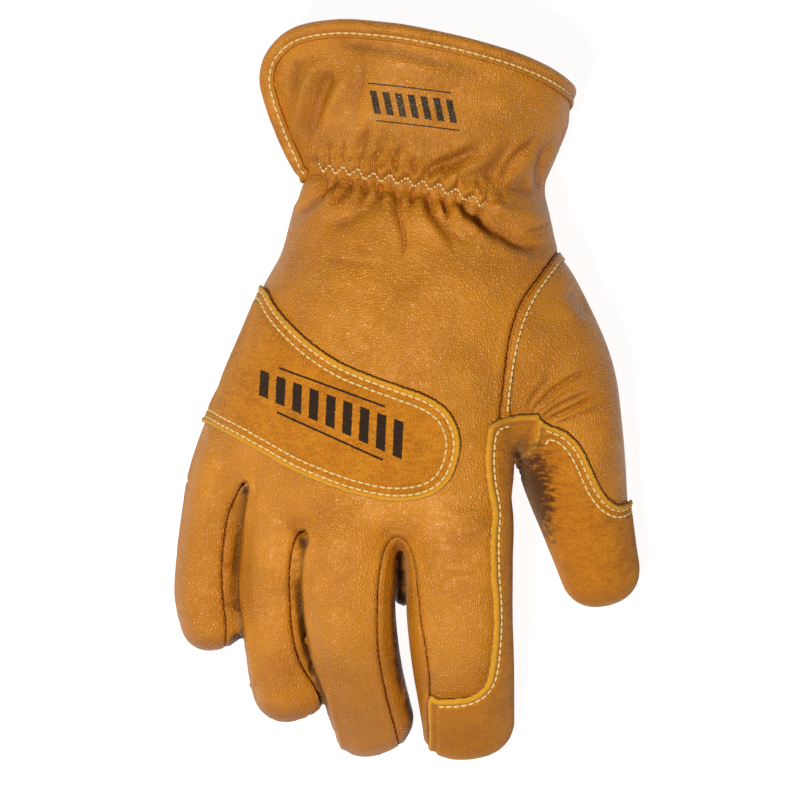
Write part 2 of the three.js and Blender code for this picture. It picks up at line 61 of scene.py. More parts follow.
def smoothLine(line, steps=5, closed=False):  # a rounder line through the same points
    line = np.array(line, float)
    count = len(line)
    result = []
    for i in range(count if closed else count - 1):
        picks = [i - 1, i, i + 1, i + 2]
        picks = [p % count if closed else min(max(p, 0), count - 1) for p in picks]
        a, b, c, d = line[picks]
        for k in range(steps):
            t = k / steps
            result.append(0.5 * (2 * b + (c - a) * t + (2 * a - 5 * b + 4 * c - d) * t * t
                                 + (3 * b - a - 3 * c + d) * t ** 3))
    if not closed:
        result.append(line[-1])
    return np.array(result)


def gapToLine(places, line, closed=False):  # distance to a line, and how far along it the nearest place is
    line = np.array(line, float)
    ends = np.roll(line, -1, axis=0) if closed else line[1:]
    lengths = np.linalg.norm(ends - line[:len(ends)], axis=1)
    before = np.concatenate([[0], np.cumsum(lengths)])
    nearest = np.full(len(places), 1e9)
    along = np.zeros(len(places))
    for i, (start, end) in enumerate(zip(line, ends)):
        step = end - start
        share = np.clip((places - start) @ step / max(step @ step, 1e-12), 0, 1)
        gap = np.linalg.norm(places - start - share[:, None] * step, axis=1)
        closer = gap < nearest
        nearest[closer] = gap[closer]
        along[closer] = (before[i] + share * lengths[i])[closer]
    return nearest, along / before[-1]


def signedGap(places, outline):  # distance to a closed outline, below zero inside it
    gap = gapToLine(places, outline, closed=True)[0]
    inside = np.zeros(len(places), bool)
    ends = np.roll(outline, -1, axis=0)
    for start, end in zip(outline, ends):
        if start[1] == end[1]:
            continue
        crosses = (start[1] > places[:, 1]) != (end[1] > places[:, 1])
        at = start[0] + (places[:, 1] - start[1]) / (end[1] - start[1]) * (end[0] - start[0])
        inside ^= crosses & (places[:, 0] < at)
    return np.where(inside, -gap, gap)


def pointsOf(piece):  # the vertices in millimetres
    flat = np.empty(len(piece.data.vertices) * 3)
    piece.data.vertices.foreach_get("co", flat)
    return flat.reshape(-1, 3) * 1000


def normalsOf(piece):
    flat = np.empty(len(piece.data.vertices) * 3)
    piece.data.vertices.foreach_get("normal", flat)
    return flat.reshape(-1, 3)


def movePoints(piece, points):
    piece.data.vertices.foreach_set("co", (points / 1000).ravel())
    piece.data.update()


def activate(piece):
    bpy.ops.object.select_all(action="DESELECT")
    piece.select_set(True)
    bpy.context.view_layer.objects.active = piece


def applyModifier(piece, kind, **settings):
    activate(piece)
    modifier = piece.modifiers.new(kind.title(), kind)
    for name, value in settings.items():
        setattr(modifier, name, value)
    bpy.ops.object.modifier_apply(modifier=modifier.name)


def turnOutwards():  # turns the faces of the active piece outwards
    bpy.ops.object.mode_set(mode="EDIT")
    bpy.ops.mesh.select_all(action="SELECT")
    bpy.ops.mesh.normals_make_consistent(inside=False)
    bpy.ops.object.mode_set(mode="OBJECT")


def addObject(name, data):
    piece = bpy.data.objects.new(name, data)
    bpy.context.collection.objects.link(piece)
    return piece


def addMesh(name, points, faces):  # a piece from points in millimetres
    mesh = bpy.data.meshes.new(name)
    mesh.from_pydata((points / 1000).tolist(), [], faces)
    mesh.update()
    return addObject(name, mesh)


def addValues(piece, name, values):  # a number at each point, for the materials
    layer = piece.data.attributes.new(name, "FLOAT", "POINT")
    layer.data.foreach_set("value", np.asarray(values, np.float32))


bodyForm = {
    "shiftX": -0.3, "shiftY": 3.1, "sides": 72, "power": 2.2, "palmLean": 0.3, "stepsBetween": 4,
    "flapFrom": 65.5, "flapTo": 70, "flapWider": 0.3, "extend": 3.4,  # the flap over the slit lies flatter
    "columns": ["x", "y", "z", "left", "right", "up", "down", "slant", "lean", "roll"],
    "rows": [
        [-13, -53.4, 35, 22, 24, 6, 7, -2, 0, 14],
        [-15, -48.6, 35.5, 38, 40, 12, 10, -5, 0, 16],
        [-17, -42, 36, 46, 49, 15, 13, -8, 0, 16],
        [-17.6, -30, 36, 51, 53, 19, 17, -9, 0, 15],
        [-14, -8, 34, 50.5, 51, 23.5, 23, -8, 0, 12],
        [-7.5, 11, 31.5, 49, 50, 27, 27, -8, 0, 9],
        [-1.2, 27, 29.5, 48, 50, 29, 31, -9, 0, 6],
        [3.4, 39, 28.5, 46.4, 48.5, 29, 31, -8, 0, 4],
        [4.8, 49, 28, 45, 47.4, 28, 30, -8, 0, 3],
        [5.6, 58, 27.5, 43.6, 44.8, 26.5, 29.5, -9, 0, 2],
        [5.2, 66, 27.5, 41, 43.6, 25.5, 29, -9, 0.05, 1],
        [4.6, 73.5, 28, 42, 42.2, 26, 29, -8, 0.1, 0],
        [4.2, 80, 29, 45.6, 45, 28, 29.5, -7, 0.2, 0],
        [3.8, 88, 30, 49.6, 48.6, 30.5, 29.5, -7, 0.3, 0],
        [3.4, 95.5, 31, 51.6, 51.5, 32, 29.2, -8, 0.4, 0],
        [2.9, 101.5, 31.6, 52, 52.6, 32.4, 29, -9, 0.5, 0],
    ],
}
fingerForms = {
    "sides": 48, "power": 2.4, "capPower": 2.4, "stepsBetween": 5,
    "capSteps": [0.15, 0.3, 0.45, 0.58, 0.7, 0.8, 0.88, 0.94, 0.98],
    "columns": ["x", "y", "z", "half", "high", "roll"],
    "little": {"cap": 10.5, "rows": [
        [-44, 14, 27, 7, 7, 20], [-54.2, -6, 25.4, 10.4, 10.4, 22], [-62.8, -28, 21, 10.6, 11.2, 24],
        [-66.2, -45, 16.2, 10.6, 11.2, 25], [-67.9, -60, 13.6, 11, 11, 25],
        [-68.4, -71, 11.8, 11.2, 10.8, 25], [-66.8, -79.4, 10, 11.2, 10.4, 25]]},
    "ring": {"cap": 13.5, "rows": [
        [-42, 4, 29, 11, 11, 26], [-42.4, -30, 29.4, 12.4, 12.4, 30], [-42.8, -50, 26, 12.3, 12.2, 32],
        [-43.4, -68, 20.6, 12.6, 12, 31], [-42.8, -84, 15.8, 13.4, 11.6, 28],
        [-40.2, -101, 11, 13.4, 10.6, 24]]},
    "middle": {"cap": 13, "rows": [
        [-19.5, 0, 35.5, 13, 12, 8], [-19.3, -36, 40.5, 15.5, 14.6, 10], [-19.6, -58, 40.5, 15.8, 14.6, 11],
        [-19.3, -77, 36, 15.5, 14.4, 11], [-16.4, -96, 26, 14.8, 13.4, 10],
        [-12.2, -112.5, 14.2, 14.2, 12.4, 9]]},
    "index": {"cap": 11.6, "rows": [
        [12, 0, 36, 14, 12, 0], [16.2, -38, 42, 17.4, 15.4, 0], [16.8, -58, 41.5, 17.2, 15.2, 0],
        [17, -76, 37, 17.1, 15, 0], [18.4, -94, 29.4, 16.5, 14.2, 0], [20.4, -113, 15.8, 15.1, 13, 0]]},
    "thumb": {"cap": 13, "rows": [
        [30, 46, 27, 12, 14, 0], [38, 34.5, 27, 17.4, 19.6, 0], [45, 22, 27, 18.6, 21, -2],
        [51, 6, 26, 19.4, 20.5, -4], [54.4, -12, 24.5, 18.8, 19.6, -6], [57.8, -29, 21.6, 17.2, 17.6, -6],
        [61.6, -45, 18.6, 14.6, 15.2, -6], [65.8, -60.4, 15.2, 12.6, 12.8, -6]]},
    "web": {"cap": 4, "rows": [
        [-1, -20, 32, 5, 8, 0], [-1, -42, 26, 4.6, 8, 0], [-1.2, -58, 23, 4.2, 8, 0],
        [-1.2, -70, 20, 3.6, 7, 0]]},
    "thumbRoot": {"cap": 12, "rows": [
        [16, 50, 29, 12, 14, 0], [29, 28, 29.5, 21, 23.5, 0], [36, 9, 29.5, 21.5, 23, 0],
        [39, -8, 29, 18.5, 19.5, 0]]},
}


def sectionRing(angles, right, up, left, down, power):  # a rounded section, squarer as its power grows
    c, s = np.cos(angles), np.sin(angles)
    across = np.where(c > 0, right, left) * np.sign(c) * np.abs(c) ** (2 / power)
    above = np.where(s > 0, up, down) * np.sign(s) * np.abs(s) ** (2 / power)
    return across, above


def bodyRings():
    angles = np.arange(bodyForm["sides"]) / bodyForm["sides"] * 2 * np.pi
    rows = np.array(bodyForm["rows"], float)
    rows = np.vstack([rows, rows[-1] + bodyForm["extend"] * (rows[-1] - rows[-2])])
    rings = []
    for row in smoothLine(rows, bodyForm["stepsBetween"]):
        at = dict(zip(bodyForm["columns"], row))
        across, above = sectionRing(angles, at["right"], at["up"], at["left"], at["down"], bodyForm["power"])
        flap = smoothStep(at["y"], bodyForm["flapFrom"], bodyForm["flapTo"])
        onFlap = (angles > np.pi / 2) & (angles <= np.pi)
        wider = -at["left"] * (1 + bodyForm["flapWider"] * flap) * np.abs(np.cos(angles))
        flatter = at["up"] * np.cos(np.pi / 2 * np.abs(np.cos(angles)))
        across = np.where(onFlap, across + (wider - across) * flap, across)
        above = np.where(onFlap, above + (flatter - above) * flap, above)
        roll, slant = math.radians(at["roll"]), math.radians(at["slant"])
        side = across * math.cos(roll) - above * math.sin(roll)
        high = across * math.sin(roll) + above * math.cos(roll)
        leaning = at["lean"] * np.where(high > 0, high, high * bodyForm["palmLean"])
        ring = [at["x"] + side * math.cos(slant), at["y"] + side * math.sin(slant) + leaning, at["z"] + high]
        rings.append(np.stack(ring, 1))
    return rings


def fingerRings(finger):
    rows = smoothLine(finger["rows"], fingerForms["stepsBetween"])
    angles = (np.arange(fingerForms["sides"]) + 0.5) / fingerForms["sides"] * 2 * np.pi
    centres = rows[:, :3]
    tangents = np.gradient(centres, axis=0)
    tangents /= np.linalg.norm(tangents, axis=1)[:, None]
    stations = [(centre, tangent, row, 1) for centre, tangent, row in zip(centres, tangents, rows)]
    for step in fingerForms["capSteps"]:
        shrink = (1 - step ** fingerForms["capPower"]) ** (1 / fingerForms["capPower"])
        end = centres[-1] + tangents[-1] * finger["cap"] * step
        stations.append((end, tangents[-1], rows[-1], shrink))
    rings = []
    for centre, tangent, row, shrink in stations:
        at = dict(zip(fingerForms["columns"], row))
        half, high, roll = at["half"], at["high"], math.radians(at["roll"])
        side = np.cross([0, 0, 1], tangent)
        side = -side / np.linalg.norm(side)
        up = np.cross(side, tangent)
        up *= np.sign(up[2]) / np.linalg.norm(up)
        across, above = sectionRing(angles, half, high, half, high, fingerForms["power"])
        turned = across * math.cos(roll) - above * math.sin(roll)
        raised = across * math.sin(roll) + above * math.cos(roll)
        rings.append(centre + (turned[:, None] * side + raised[:, None] * up) * shrink)
    return rings


def sweepRings(name, rings):  # a circle extruded from ring to ring and closed at both ends
    bpy.ops.object.select_all(action="DESELECT")
    bpy.ops.mesh.primitive_circle_add(vertices=len(rings[0]), radius=0.02, fill_type="NGON")
    piece = bpy.context.object
    piece.name = name
    bpy.ops.object.mode_set(mode="EDIT")
    for _ in rings[1:]:
        bpy.ops.mesh.extrude_region_move(TRANSFORM_OT_translate={"value": (0, 0, 0.001)})
    bpy.ops.object.mode_set(mode="OBJECT")
    heights = pointsOf(piece)
    order = np.lexsort((np.arange(len(heights)), np.round(heights[:, 2], 3)))
    points = np.empty_like(heights)
    count = len(rings[0])
    for i, ring in enumerate(rings):
        points[order[i * count:(i + 1) * count]] = ring
    movePoints(piece, points)
    turnOutwards()
    return piece


def makeHand():
    shift = np.array([bodyForm["shiftX"], bodyForm["shiftY"], 0])
    forms = {"body": bodyRings()}
    for name in ["little", "ring", "middle", "index", "web", "thumb", "thumbRoot"]:
        forms[name] = fingerRings(fingerForms[name])
    pieces = [sweepRings(name + "Form", [ring + shift for ring in rings]) for name, rings in forms.items()]
    bpy.ops.object.select_all(action="DESELECT")
    for piece in pieces:
        piece.select_set(True)
    bpy.context.view_layer.objects.active = pieces[0]
    bpy.ops.object.join()
    hand = pieces[0]
    hand.name = "hand"
    return hand


hand = makeHand()
applyModifier(hand, "REMESH", mode="VOXEL", voxel_size=0.00125, adaptivity=0)
applyModifier(hand, "SMOOTH", factor=0.5, iterations=6)
print("hand form:", len(hand.data.vertices), "points")

# Softened places: middle, reach across and down, rounds, and whether only the back of the hand is touched
softened = {
    "thumbWeb": [556, 372, 66, 118, 220, False],
    "knuckles": [345, 476, 150, 62, 130, True],
    "indexKnuckle": [455, 500, 75, 60, 60, True],
    "wrist": [420, 200, 170, 60, 25, False],
    "littleValley": [241, 565, 11, 90, 24, False],
    "ringValley": [303, 620, 11, 90, 24, False],
}


def edgesOf(piece):
    flat = np.empty(len(piece.data.edges) * 2, np.int32)
    piece.data.edges.foreach_get("vertices", flat)
    return flat.reshape(-1, 2)


def relax(points, edges, weight, rounds):  # draws each point towards its neighbours
    first, second = edges.T
    count = np.bincount(edges.ravel(), minlength=len(points))
    for _ in range(rounds):
        mean = np.empty_like(points)
        for axis in range(3):
            mean[:, axis] = np.bincount(first, points[second, axis], len(points))
            mean[:, axis] += np.bincount(second, points[first, axis], len(points))
        points = points + weight[:, None] * 0.5 * (mean / count[:, None] - points)
    return points


def softenHand():
    points, edges = pointsOf(hand), edgesOf(hand)
    for x, y, across, down, rounds, backOnly in softened.values():
        seen = seenFrom(points)
        away = np.hypot((seen[:, 0] - x) / across, (seen[:, 1] - y) / down)
        weight = 1 - smoothStep(away, 0.6, 1)
        if backOnly:
            weight *= smoothStep(normalsOf(hand)[:, 2], 0, 0.5)
        points = relax(points, edges, weight, rounds)
        movePoints(hand, points)


softenHand()

# Seams in picture units. Each strip lies between the seam of one finger's back and the ridge of the next.
seams = {
    "thumb": [[566, 246], [559, 250], [542, 273], [525, 296], [516, 316], [509, 342], [505, 374], [502, 400],
              [500, 420], [501, 442], [507, 458], [515, 470], [519, 490], [530, 560], [560, 700], [720, 700],
              [720, 246]],
    "ringLittle": [[[243, 483], [237, 493], [229, 514], [224.5, 540], [222.6, 560], [222.3, 580], [224, 603],
                    [226.5, 625], [226, 640], [223, 660]],
                   [[246, 483], [247.6, 490], [245, 505], [241.6, 530], [239, 555], [237.6, 580], [238, 598],
                    [240.6, 615], [243, 635], [250, 680]]],
    "middleRing": [[[301, 531], [296, 538], [292.6, 550], [290.4, 565], [289.6, 582], [290.4, 603],
                    [292, 628], [295.5, 647], [301, 664], [310, 679], [318, 695], [323, 712], [326, 735]],
                   [[305, 531], [308, 538], [305.4, 548], [302, 562], [300.2, 580], [301.2, 601],
                    [303.5, 622], [307.6, 645], [313, 663], [319, 680], [326, 699], [332, 722], [338, 745]]],
    "indexMiddle": [[[395, 538], [388, 544], [384, 554], [381.6, 566], [379, 585], [378, 605], [378, 640],
                    [380, 660], [384, 683], [389, 705], [395, 727], [402, 757], [406, 790]],
                    [[399, 538], [405, 542], [410, 550], [413.6, 562], [416.4, 580], [418.6, 604],
                    [421, 625], [425, 647], [428.5, 673], [429.6, 695], [430, 720], [433, 757], [437, 790]]],
}
overlays = {
    "patch": [[225, 262], [252, 279], [268, 290], [276, 305], [290, 322], [312, 343], [340, 362], [370, 375],
              [400, 386], [425, 395], [445, 408], [456, 425], [460, 445], [456, 466], [447, 484], [430, 496],
              [408, 500.5], [385, 500], [350, 493], [320, 482], [290, 468], [262, 452], [235, 437],
              [209, 424], [180, 408], [160, 330]],
    "index": [[489, 424], [502, 417.5], [516, 414.5], [532, 413.5], [540, 416], [536, 440], [521, 466],
              [520, 480], [528, 560], [540, 640], [550, 800], [430, 800], [431, 740], [429.6, 697],
              [440, 697.5], [455, 697], [468, 695], [479, 689], [486, 678], [489, 660], [491.4, 636],
              [491.6, 608], [489, 572], [488.4, 540], [490.4, 512], [486.4, 490], [484, 470], [484, 450],
              [485.6, 435]],
    "thumb": [[537, 418], [548, 424], [562, 429], [574, 438], [584, 452], [592, 470], [599, 486], [607, 498],
              [617, 505], [625, 502], [634, 497], [660, 493], [680, 493], [680, 720], [560, 720], [534, 600],
              [524, 520], [518, 470], [534, 440]],
    "welt": [[561, 250], [544, 273], [528.5, 295], [517.6, 316], [510, 346], [505, 378], [502.4, 400],
             [501, 419], [508.4, 419], [509.4, 400], [512.4, 378], [517, 348], [525, 320], [536.6, 296],
             [550, 277], [566, 257]],
}
fingerRoots = [[-100, -28], [-55.4, -34.4], [-35.4, -50.4], [-3.4, -52.4], [46, -26], [100, -26]]
rimEdge = {
    "x": 2.6, "y": 104.4, "z": 31.6, "slant": -2.2, "lean": 0.15,  # the palm's edge lies in a plane
    "top": [[295, 206], [299, 196], [301.5, 187], [304.5, 179], [295, 164], [283, 141], [274, 118],
            [268, 100], [264, 84], [264, 73], [267, 61], [273, 50], [282, 40], [293, 33], [306, 28.5],
            [324, 25.5], [345, 24], [372, 26], [400, 29], [430, 34.5], [460, 41], [490, 49], [517, 57.5],
            [545, 69.5], [561, 79.5], [572, 89], [590, 102], [640, 130]],
    "around": [[700, 160], [700, 900], [100, 900], [100, 240], [288, 213]],
}
slit = {"length": 38, "middle": 18.5, "rise": 13, "top": 29.3, "topRise": 5.2, "down": 12,
        "before": -20, "elsewhere": 30}  # its side of the cuff, and the distance given elsewhere
seamColumns = [[-66, "little"], [-43, "ring"], [-18, "middle"], [18, "index"]]


def sideSeamHeight(points):  # height of the seam between the back and the palm
    x = points[:, 0] - bodyForm["shiftX"]
    y = points[:, 1] - bodyForm["shiftY"]
    rows = np.array(bodyForm["rows"], float)
    heights = []
    for columnX, finger in seamColumns:
        body = np.interp(y, rows[:, 1], rows[:, 2])
        roll = np.tan(np.radians(np.interp(y, rows[:, 1], rows[:, 9])))
        middle = np.interp(y, rows[:, 1], rows[:, 0])
        left, right = np.interp(y, rows[:, 1], rows[:, 3]), np.interp(y, rows[:, 1], rows[:, 4])
        body = body + np.clip(columnX - middle, -left, right) * roll
        fingerRows = np.array(fingerForms[finger]["rows"], float)[::-1]
        onFinger = smoothStep(-y, 10, 40)
        heights.append(body + (np.interp(y, fingerRows[:, 1], fingerRows[:, 2]) - body) * onFinger)
    result = heights[0].copy()
    for i in range(len(seamColumns) - 1):
        low, high = seamColumns[i][0], seamColumns[i + 1][0]
        share = np.clip((x - low) / (high - low), 0, 1)
        result = np.where(x > low, heights[i] + (heights[i + 1] - heights[i]) * share, result)
    return result


def stripOutline(name):
    left, right = seams[name]
    return np.vstack([smoothLine(left, 4), smoothLine(right[::-1], 4)])


def seamFields(points):  # signed distances, in millimetres, to every line that the leather is cut along
    seen = seenFrom(points)
    unit = viewpoint["unit"]
    fields = {"thumb": signedGap(seen, smoothLine(seams["thumb"], 3, True)) * unit}
    for name in ["ringLittle", "middleRing", "indexMiddle"]:
        fields[name] = signedGap(seen, stripOutline(name)) * unit
    for name, outline in overlays.items():
        fields[name + "Overlay"] = signedGap(seen, smoothLine(outline, 4, True)) * unit
    fields["side"] = points[:, 2] - sideSeamHeight(points)
    roots = np.array(fingerRoots, float) + [bodyForm["shiftX"], bodyForm["shiftY"]]
    fields["roots"] = points[:, 1] - np.interp(points[:, 0], roots[:, 0], roots[:, 1])
    x = points[:, 0] - rimEdge["x"]
    high = points[:, 2] - rimEdge["z"]
    rim = rimEdge["y"] + x * math.tan(math.radians(rimEdge["slant"])) + high * rimEdge["lean"]
    palmRim = points[:, 1] - rim
    topRim = signedGap(seen, np.vstack([smoothLine(rimEdge["top"], 4), rimEdge["around"]])) * unit
    opening = np.clip(1 + palmRim / slit["length"], -0.2, 1.2)
    above = points[:, 2] - slit["middle"] - slit["rise"] * opening
    onTop = np.where(x > 0, smoothStep(high, -5, 5), (above > 0).astype(float))
    fields["rim"] = palmRim + (topRim - palmRim) * onTop
    overTop = points[:, 2] - slit["top"] - slit["topRise"] * opening
    underPalm = -above - slit["down"] * opening
    pastEnd = -palmRim - slit["length"]
    apart = np.maximum(np.maximum(overTop, underPalm), pastEnd)
    fields["slit"] = np.where(x < slit["before"], apart, slit["elsewhere"])
    return fields


# Folds: depth in millimetres, above zero for a ridge, then half width and the line that it follows, both in
# picture units
folds = [
    [1.6, 7, [320, 58], [308, 82], [302, 106], [303, 132]],
    [-1.8, 7, [331, 70], [323, 92], [316, 112], [310, 132], [306, 154]],
    [-0.8, 5, [297, 58], [292, 74], [290, 96]],
    [0.9, 8, [352, 68], [339, 94], [331, 118]],
    [-0.7, 8, [366, 60], [358, 92], [352, 124], [346, 150]],
    [-0.8, 5, [340, 44], [390, 52], [430, 62], [480, 76]],
    [-0.6, 7, [498, 84], [520, 98], [545, 112]],
    [0.9, 5, [366, 168], [370, 152], [378, 134], [386, 118]],
    [-0.9, 4, [358, 166], [360, 150], [365, 136], [372, 124]],
    [-1.7, 5, [424, 182], [431, 171], [441, 165], [456, 160], [468, 153], [482, 143]],
    [-0.9, 2.2, [442, 181], [448, 171], [455, 162]],
    [1.1, 6, [446, 180], [466, 171], [482, 161], [497, 148]],
    [-1.1, 7, [484, 182], [497, 166], [506, 152], [514, 138]],
    [-1.1, 3.6, [500, 182], [508, 168], [519, 154], [530, 144], [544, 134]],
    [1.0, 7, [508, 184], [524, 167], [536, 150]],
    [-1.3, 5, [541, 192], [540, 172], [544, 154], [552, 134]],
    [-1.1, 2.2, [377, 176], [374, 164], [378, 153], [386, 149]],
    [-1.1, 2.2, [397, 174], [395, 162], [399, 150], [405, 142]],
    [-1.2, 2.2, [409, 180], [413, 166], [415, 152]],
    [-0.6, 2, [386, 151], [394, 153], [396, 164]],
    [-0.9, 2.4, [331, 164], [329, 152], [332, 140]],
    [-0.9, 2.4, [344, 166], [342, 154], [346, 140]],
    [-1.7, 2.8, [395.5, 184], [396, 200], [397.5, 213], [401, 224], [404, 240], [403, 266]],
    [-0.9, 2, [399, 190], [400.5, 205], [401, 216], [405, 232]],
    [-1.6, 3, [380, 182], [377.5, 194], [373, 206]],
    [-1.7, 3.4, [364, 179], [361, 194], [356, 212]],
    [-1.3, 2.4, [413, 187], [411.5, 199], [408, 214]],
    [-1.5, 3, [348, 176], [343, 192], [334, 208]],
    [-1.4, 3, [335, 174], [328, 188], [318, 202]],
    [-2.1, 4, [427, 189], [429, 204], [434, 214], [441, 224], [448, 236], [460, 254]],
    [-0.8, 2, [433, 203], [441, 216], [448, 229], [454, 242]],
    [-1.7, 3, [445, 193], [446, 208], [450, 224], [458, 237], [472, 248]],
    [-2.2, 5, [461, 198], [467, 209], [475, 218], [488, 229], [502, 243]],
    [-2.3, 6.5, [470, 206], [486, 217], [500, 229], [514, 240], [534, 247], [556, 248]],
    [2.0, 10, [486, 204], [510, 210], [530, 216], [556, 224]],
    [0.8, 6, [500, 192], [522, 198], [546, 204]],
    [-0.8, 2.4, [524, 229], [536, 229], [546, 224], [556, 216]],
    [-0.7, 2.2, [522, 236], [538, 235], [554, 228]],
    [1.0, 6, [340, 182], [332, 200], [322, 222]],
    [-1.3, 6, [326, 180], [314, 198], [300, 212], [286, 220]],
    [-1.1, 7, [378, 196], [362, 211], [344, 221], [320, 228]],
    [1.0, 8, [416, 194], [420, 214], [430, 240]],
    [0.9, 6, [388, 190], [386, 212], [384, 240]],
    [1.1, 5, [453, 200], [466, 220], [484, 240]],
    [-0.5, 5, [320, 256], [350, 262], [394, 264]],
    [0.4, 6, [330, 276], [360, 284], [396, 282]],
    [-0.4, 4, [352, 246], [372, 251], [394, 254]],
    [-0.8, 2.4, [530, 414], [546, 398], [560, 386], [584, 372], [602, 366]],
    [0.8, 6, [536, 415], [558, 398], [584, 386], [608, 380]],
    [-0.6, 1.8, [534, 416], [552, 402], [574, 388], [596, 378]],
    [-0.5, 1.8, [540, 417], [560, 405], [584, 395], [604, 388]],
    [-0.8, 2.2, [548, 420], [566, 412], [584, 402], [606, 390]],
    [-0.6, 2, [556, 424], [574, 418], [592, 410], [612, 402]],
    [-0.5, 2.4, [527, 410], [534, 396], [548, 378], [556, 366]],
    [-1.6, 9, [570, 286], [584, 302], [596, 324]],
    [-0.7, 3.4, [222, 569], [234, 567], [244, 568]],
    [-0.7, 3.4, [223, 608], [235, 606], [244, 607]],
    [0.6, 12, [448, 520], [470, 524], [492, 522]],
    [-0.5, 5, [444, 536], [466, 540], [490, 534]],
    [-0.45, 5, [440, 556], [466, 558], [490, 556]],
    [-0.4, 5, [446, 578], [470, 578], [490, 580]],
    [-0.4, 4, [442, 504], [464, 508], [488, 500]],
]
# The zigzag over the elastic: its turning points, the bumps beside it (height in millimetres, place from the
# thread, half width) and the gathers that run up and down from its turns
elastic = {
    "turns": [[318.8, 162], [323, 172], [330, 164.5], [335.5, 174], [343.8, 166], [349, 175.5], [358.8, 168],
              [364.5, 179.5], [374.5, 172], [380.5, 182], [390.8, 174], [397, 184], [407, 177],
              [413.8, 186.5], [423.8, 180], [430, 190], [440, 183], [446.8, 194.5], [457, 188], [464, 200],
              [474.5, 195.5], [480.5, 207], [486, 201]],
    "bumps": [[-0.8, 0, 3], [1.4, -9, 8], [-1.6, 10, 9], [0.5, 36, 14]],
    "above": {"depth": -0.6, "width": 2.2, "length": 26, "lean": 0.3},
    "below": {"depth": -0.7, "width": 2.2, "length": 40, "lean": -0.12},
    "reach": 60, "leanOver": 90,
}


def gatherLift(seen, random):  # how far the leather beside the elastic stands out or in
    turns = np.array(elastic["turns"])
    away = seen[:, 1] - np.interp(seen[:, 0], turns[:, 0], turns[:, 1])
    ends = smoothStep(seen[:, 0], turns[0, 0] - 14, turns[0, 0] + 4)
    ends = ends * (1 - smoothStep(seen[:, 0], turns[-1, 0] - 4, turns[-1, 0] + 16))
    lift = np.zeros(len(seen))
    for height, place, width in elastic["bumps"]:
        lift += height * np.exp(-((away - place) / width) ** 2)
    lift *= ends
    middle = turns[:, 0].mean()
    for i, (x, y) in enumerate(turns):
        look = elastic["above"] if i % 2 == 0 else elastic["below"]
        way = -1 if i % 2 == 0 else 1
        length = look["length"] * random.uniform(0.5, 1.1)
        drift = look["lean"] * (x - middle) / elastic["leanOver"] * length + random.uniform(-2, 2)
        line = [[x, y], [x + drift * 0.3, y + way * length * 0.4], [x + drift, y + way * length]]
        gap, along = gapToLine(seen, line)
        fade = smoothStep(along, 0, 0.1) * (1 - smoothStep(along, 0.45, 1))
        lift += look["depth"] * random.uniform(0.5, 1.2) * fade * np.exp(-(gap / look["width"]) ** 2)
    return lift


def foldLift(seen):
    lift = np.zeros(len(seen))
    for depth, width, *line in folds:
        line = smoothLine(line, 5)
        low, high = line.min(0) - 4 * width, line.max(0) + 4 * width
        near = np.flatnonzero(((seen > low) & (seen < high)).all(1))
        gap, along = gapToLine(seen[near], line)
        fade = smoothStep(along, 0, 0.16) * (1 - smoothStep(along, 0.6, 1))
        shoulder = 0.3 * np.exp(-((gap - 2 * width) / width) ** 2)
        lift[near] += depth * fade * (np.exp(-(gap / width) ** 2) - shoulder)
    return lift


# Where the faces are halved: lines with their reach in picture units, and distances from the seams
refined = {
    "lines": [[elastic["turns"][::2], 26], [[[540, 410], [575, 392], [604, 384]], 22]],
    "outside": 2, "inside": 2, "insideOverlay": 5.2, "pastRim": 3, "facing": 0.1, "rounds": 3,
}
settled = {"low": 0.9, "facing": [0.02, 0.35]}  # folds fade on the sides, and nothing sinks into the table


def refineHand():  # halves the faces beside the seams and round the elastic
    points = pointsOf(hand)
    fields = seamFields(points)
    near = np.zeros(len(points), bool)
    for name, value in fields.items():
        inner = refined["insideOverlay"] if name.endswith("Overlay") else refined["inside"]
        near |= (value < refined["outside"]) & (value > -inner)
    seen = seenFrom(points)
    for line, reach in refined["lines"]:
        near |= (gapToLine(seen, line)[0] < reach) & (normalsOf(hand)[:, 2] > refined["facing"])
    near &= fields["rim"] < refined["pastRim"]
    mesh = bmesh.new()
    mesh.from_mesh(hand.data)
    mesh.verts.ensure_lookup_table()
    edges = [e for e in mesh.edges if near[e.verts[0].index] and near[e.verts[1].index]]
    bmesh.ops.subdivide_edges(mesh, edges=edges, cuts=1, use_grid_fill=True)
    mesh.to_mesh(hand.data)
    mesh.free()
    points, edges = pointsOf(hand), edgesOf(hand)
    movePoints(hand, relax(points, edges, np.ones(len(points)), refined["rounds"]))


def foldHand():
    random = np.random.default_rng(7)
    points, normals = pointsOf(hand), normalsOf(hand)
    seen = seenFrom(points)
    facing = smoothStep(normals[:, 2], *settled["facing"])
    lift = (foldLift(seen) + gatherLift(seen, random)) * facing
    points = points + normals * lift[:, None]
    low = points[:, 2] < settled["low"]
    points[low, 2] = settled["low"] * np.exp((points[low, 2] - settled["low"]) / settled["low"])
    movePoints(hand, points)


refineHand()
print("refined:", len(hand.data.vertices), "points")
foldHand()
print("folded")


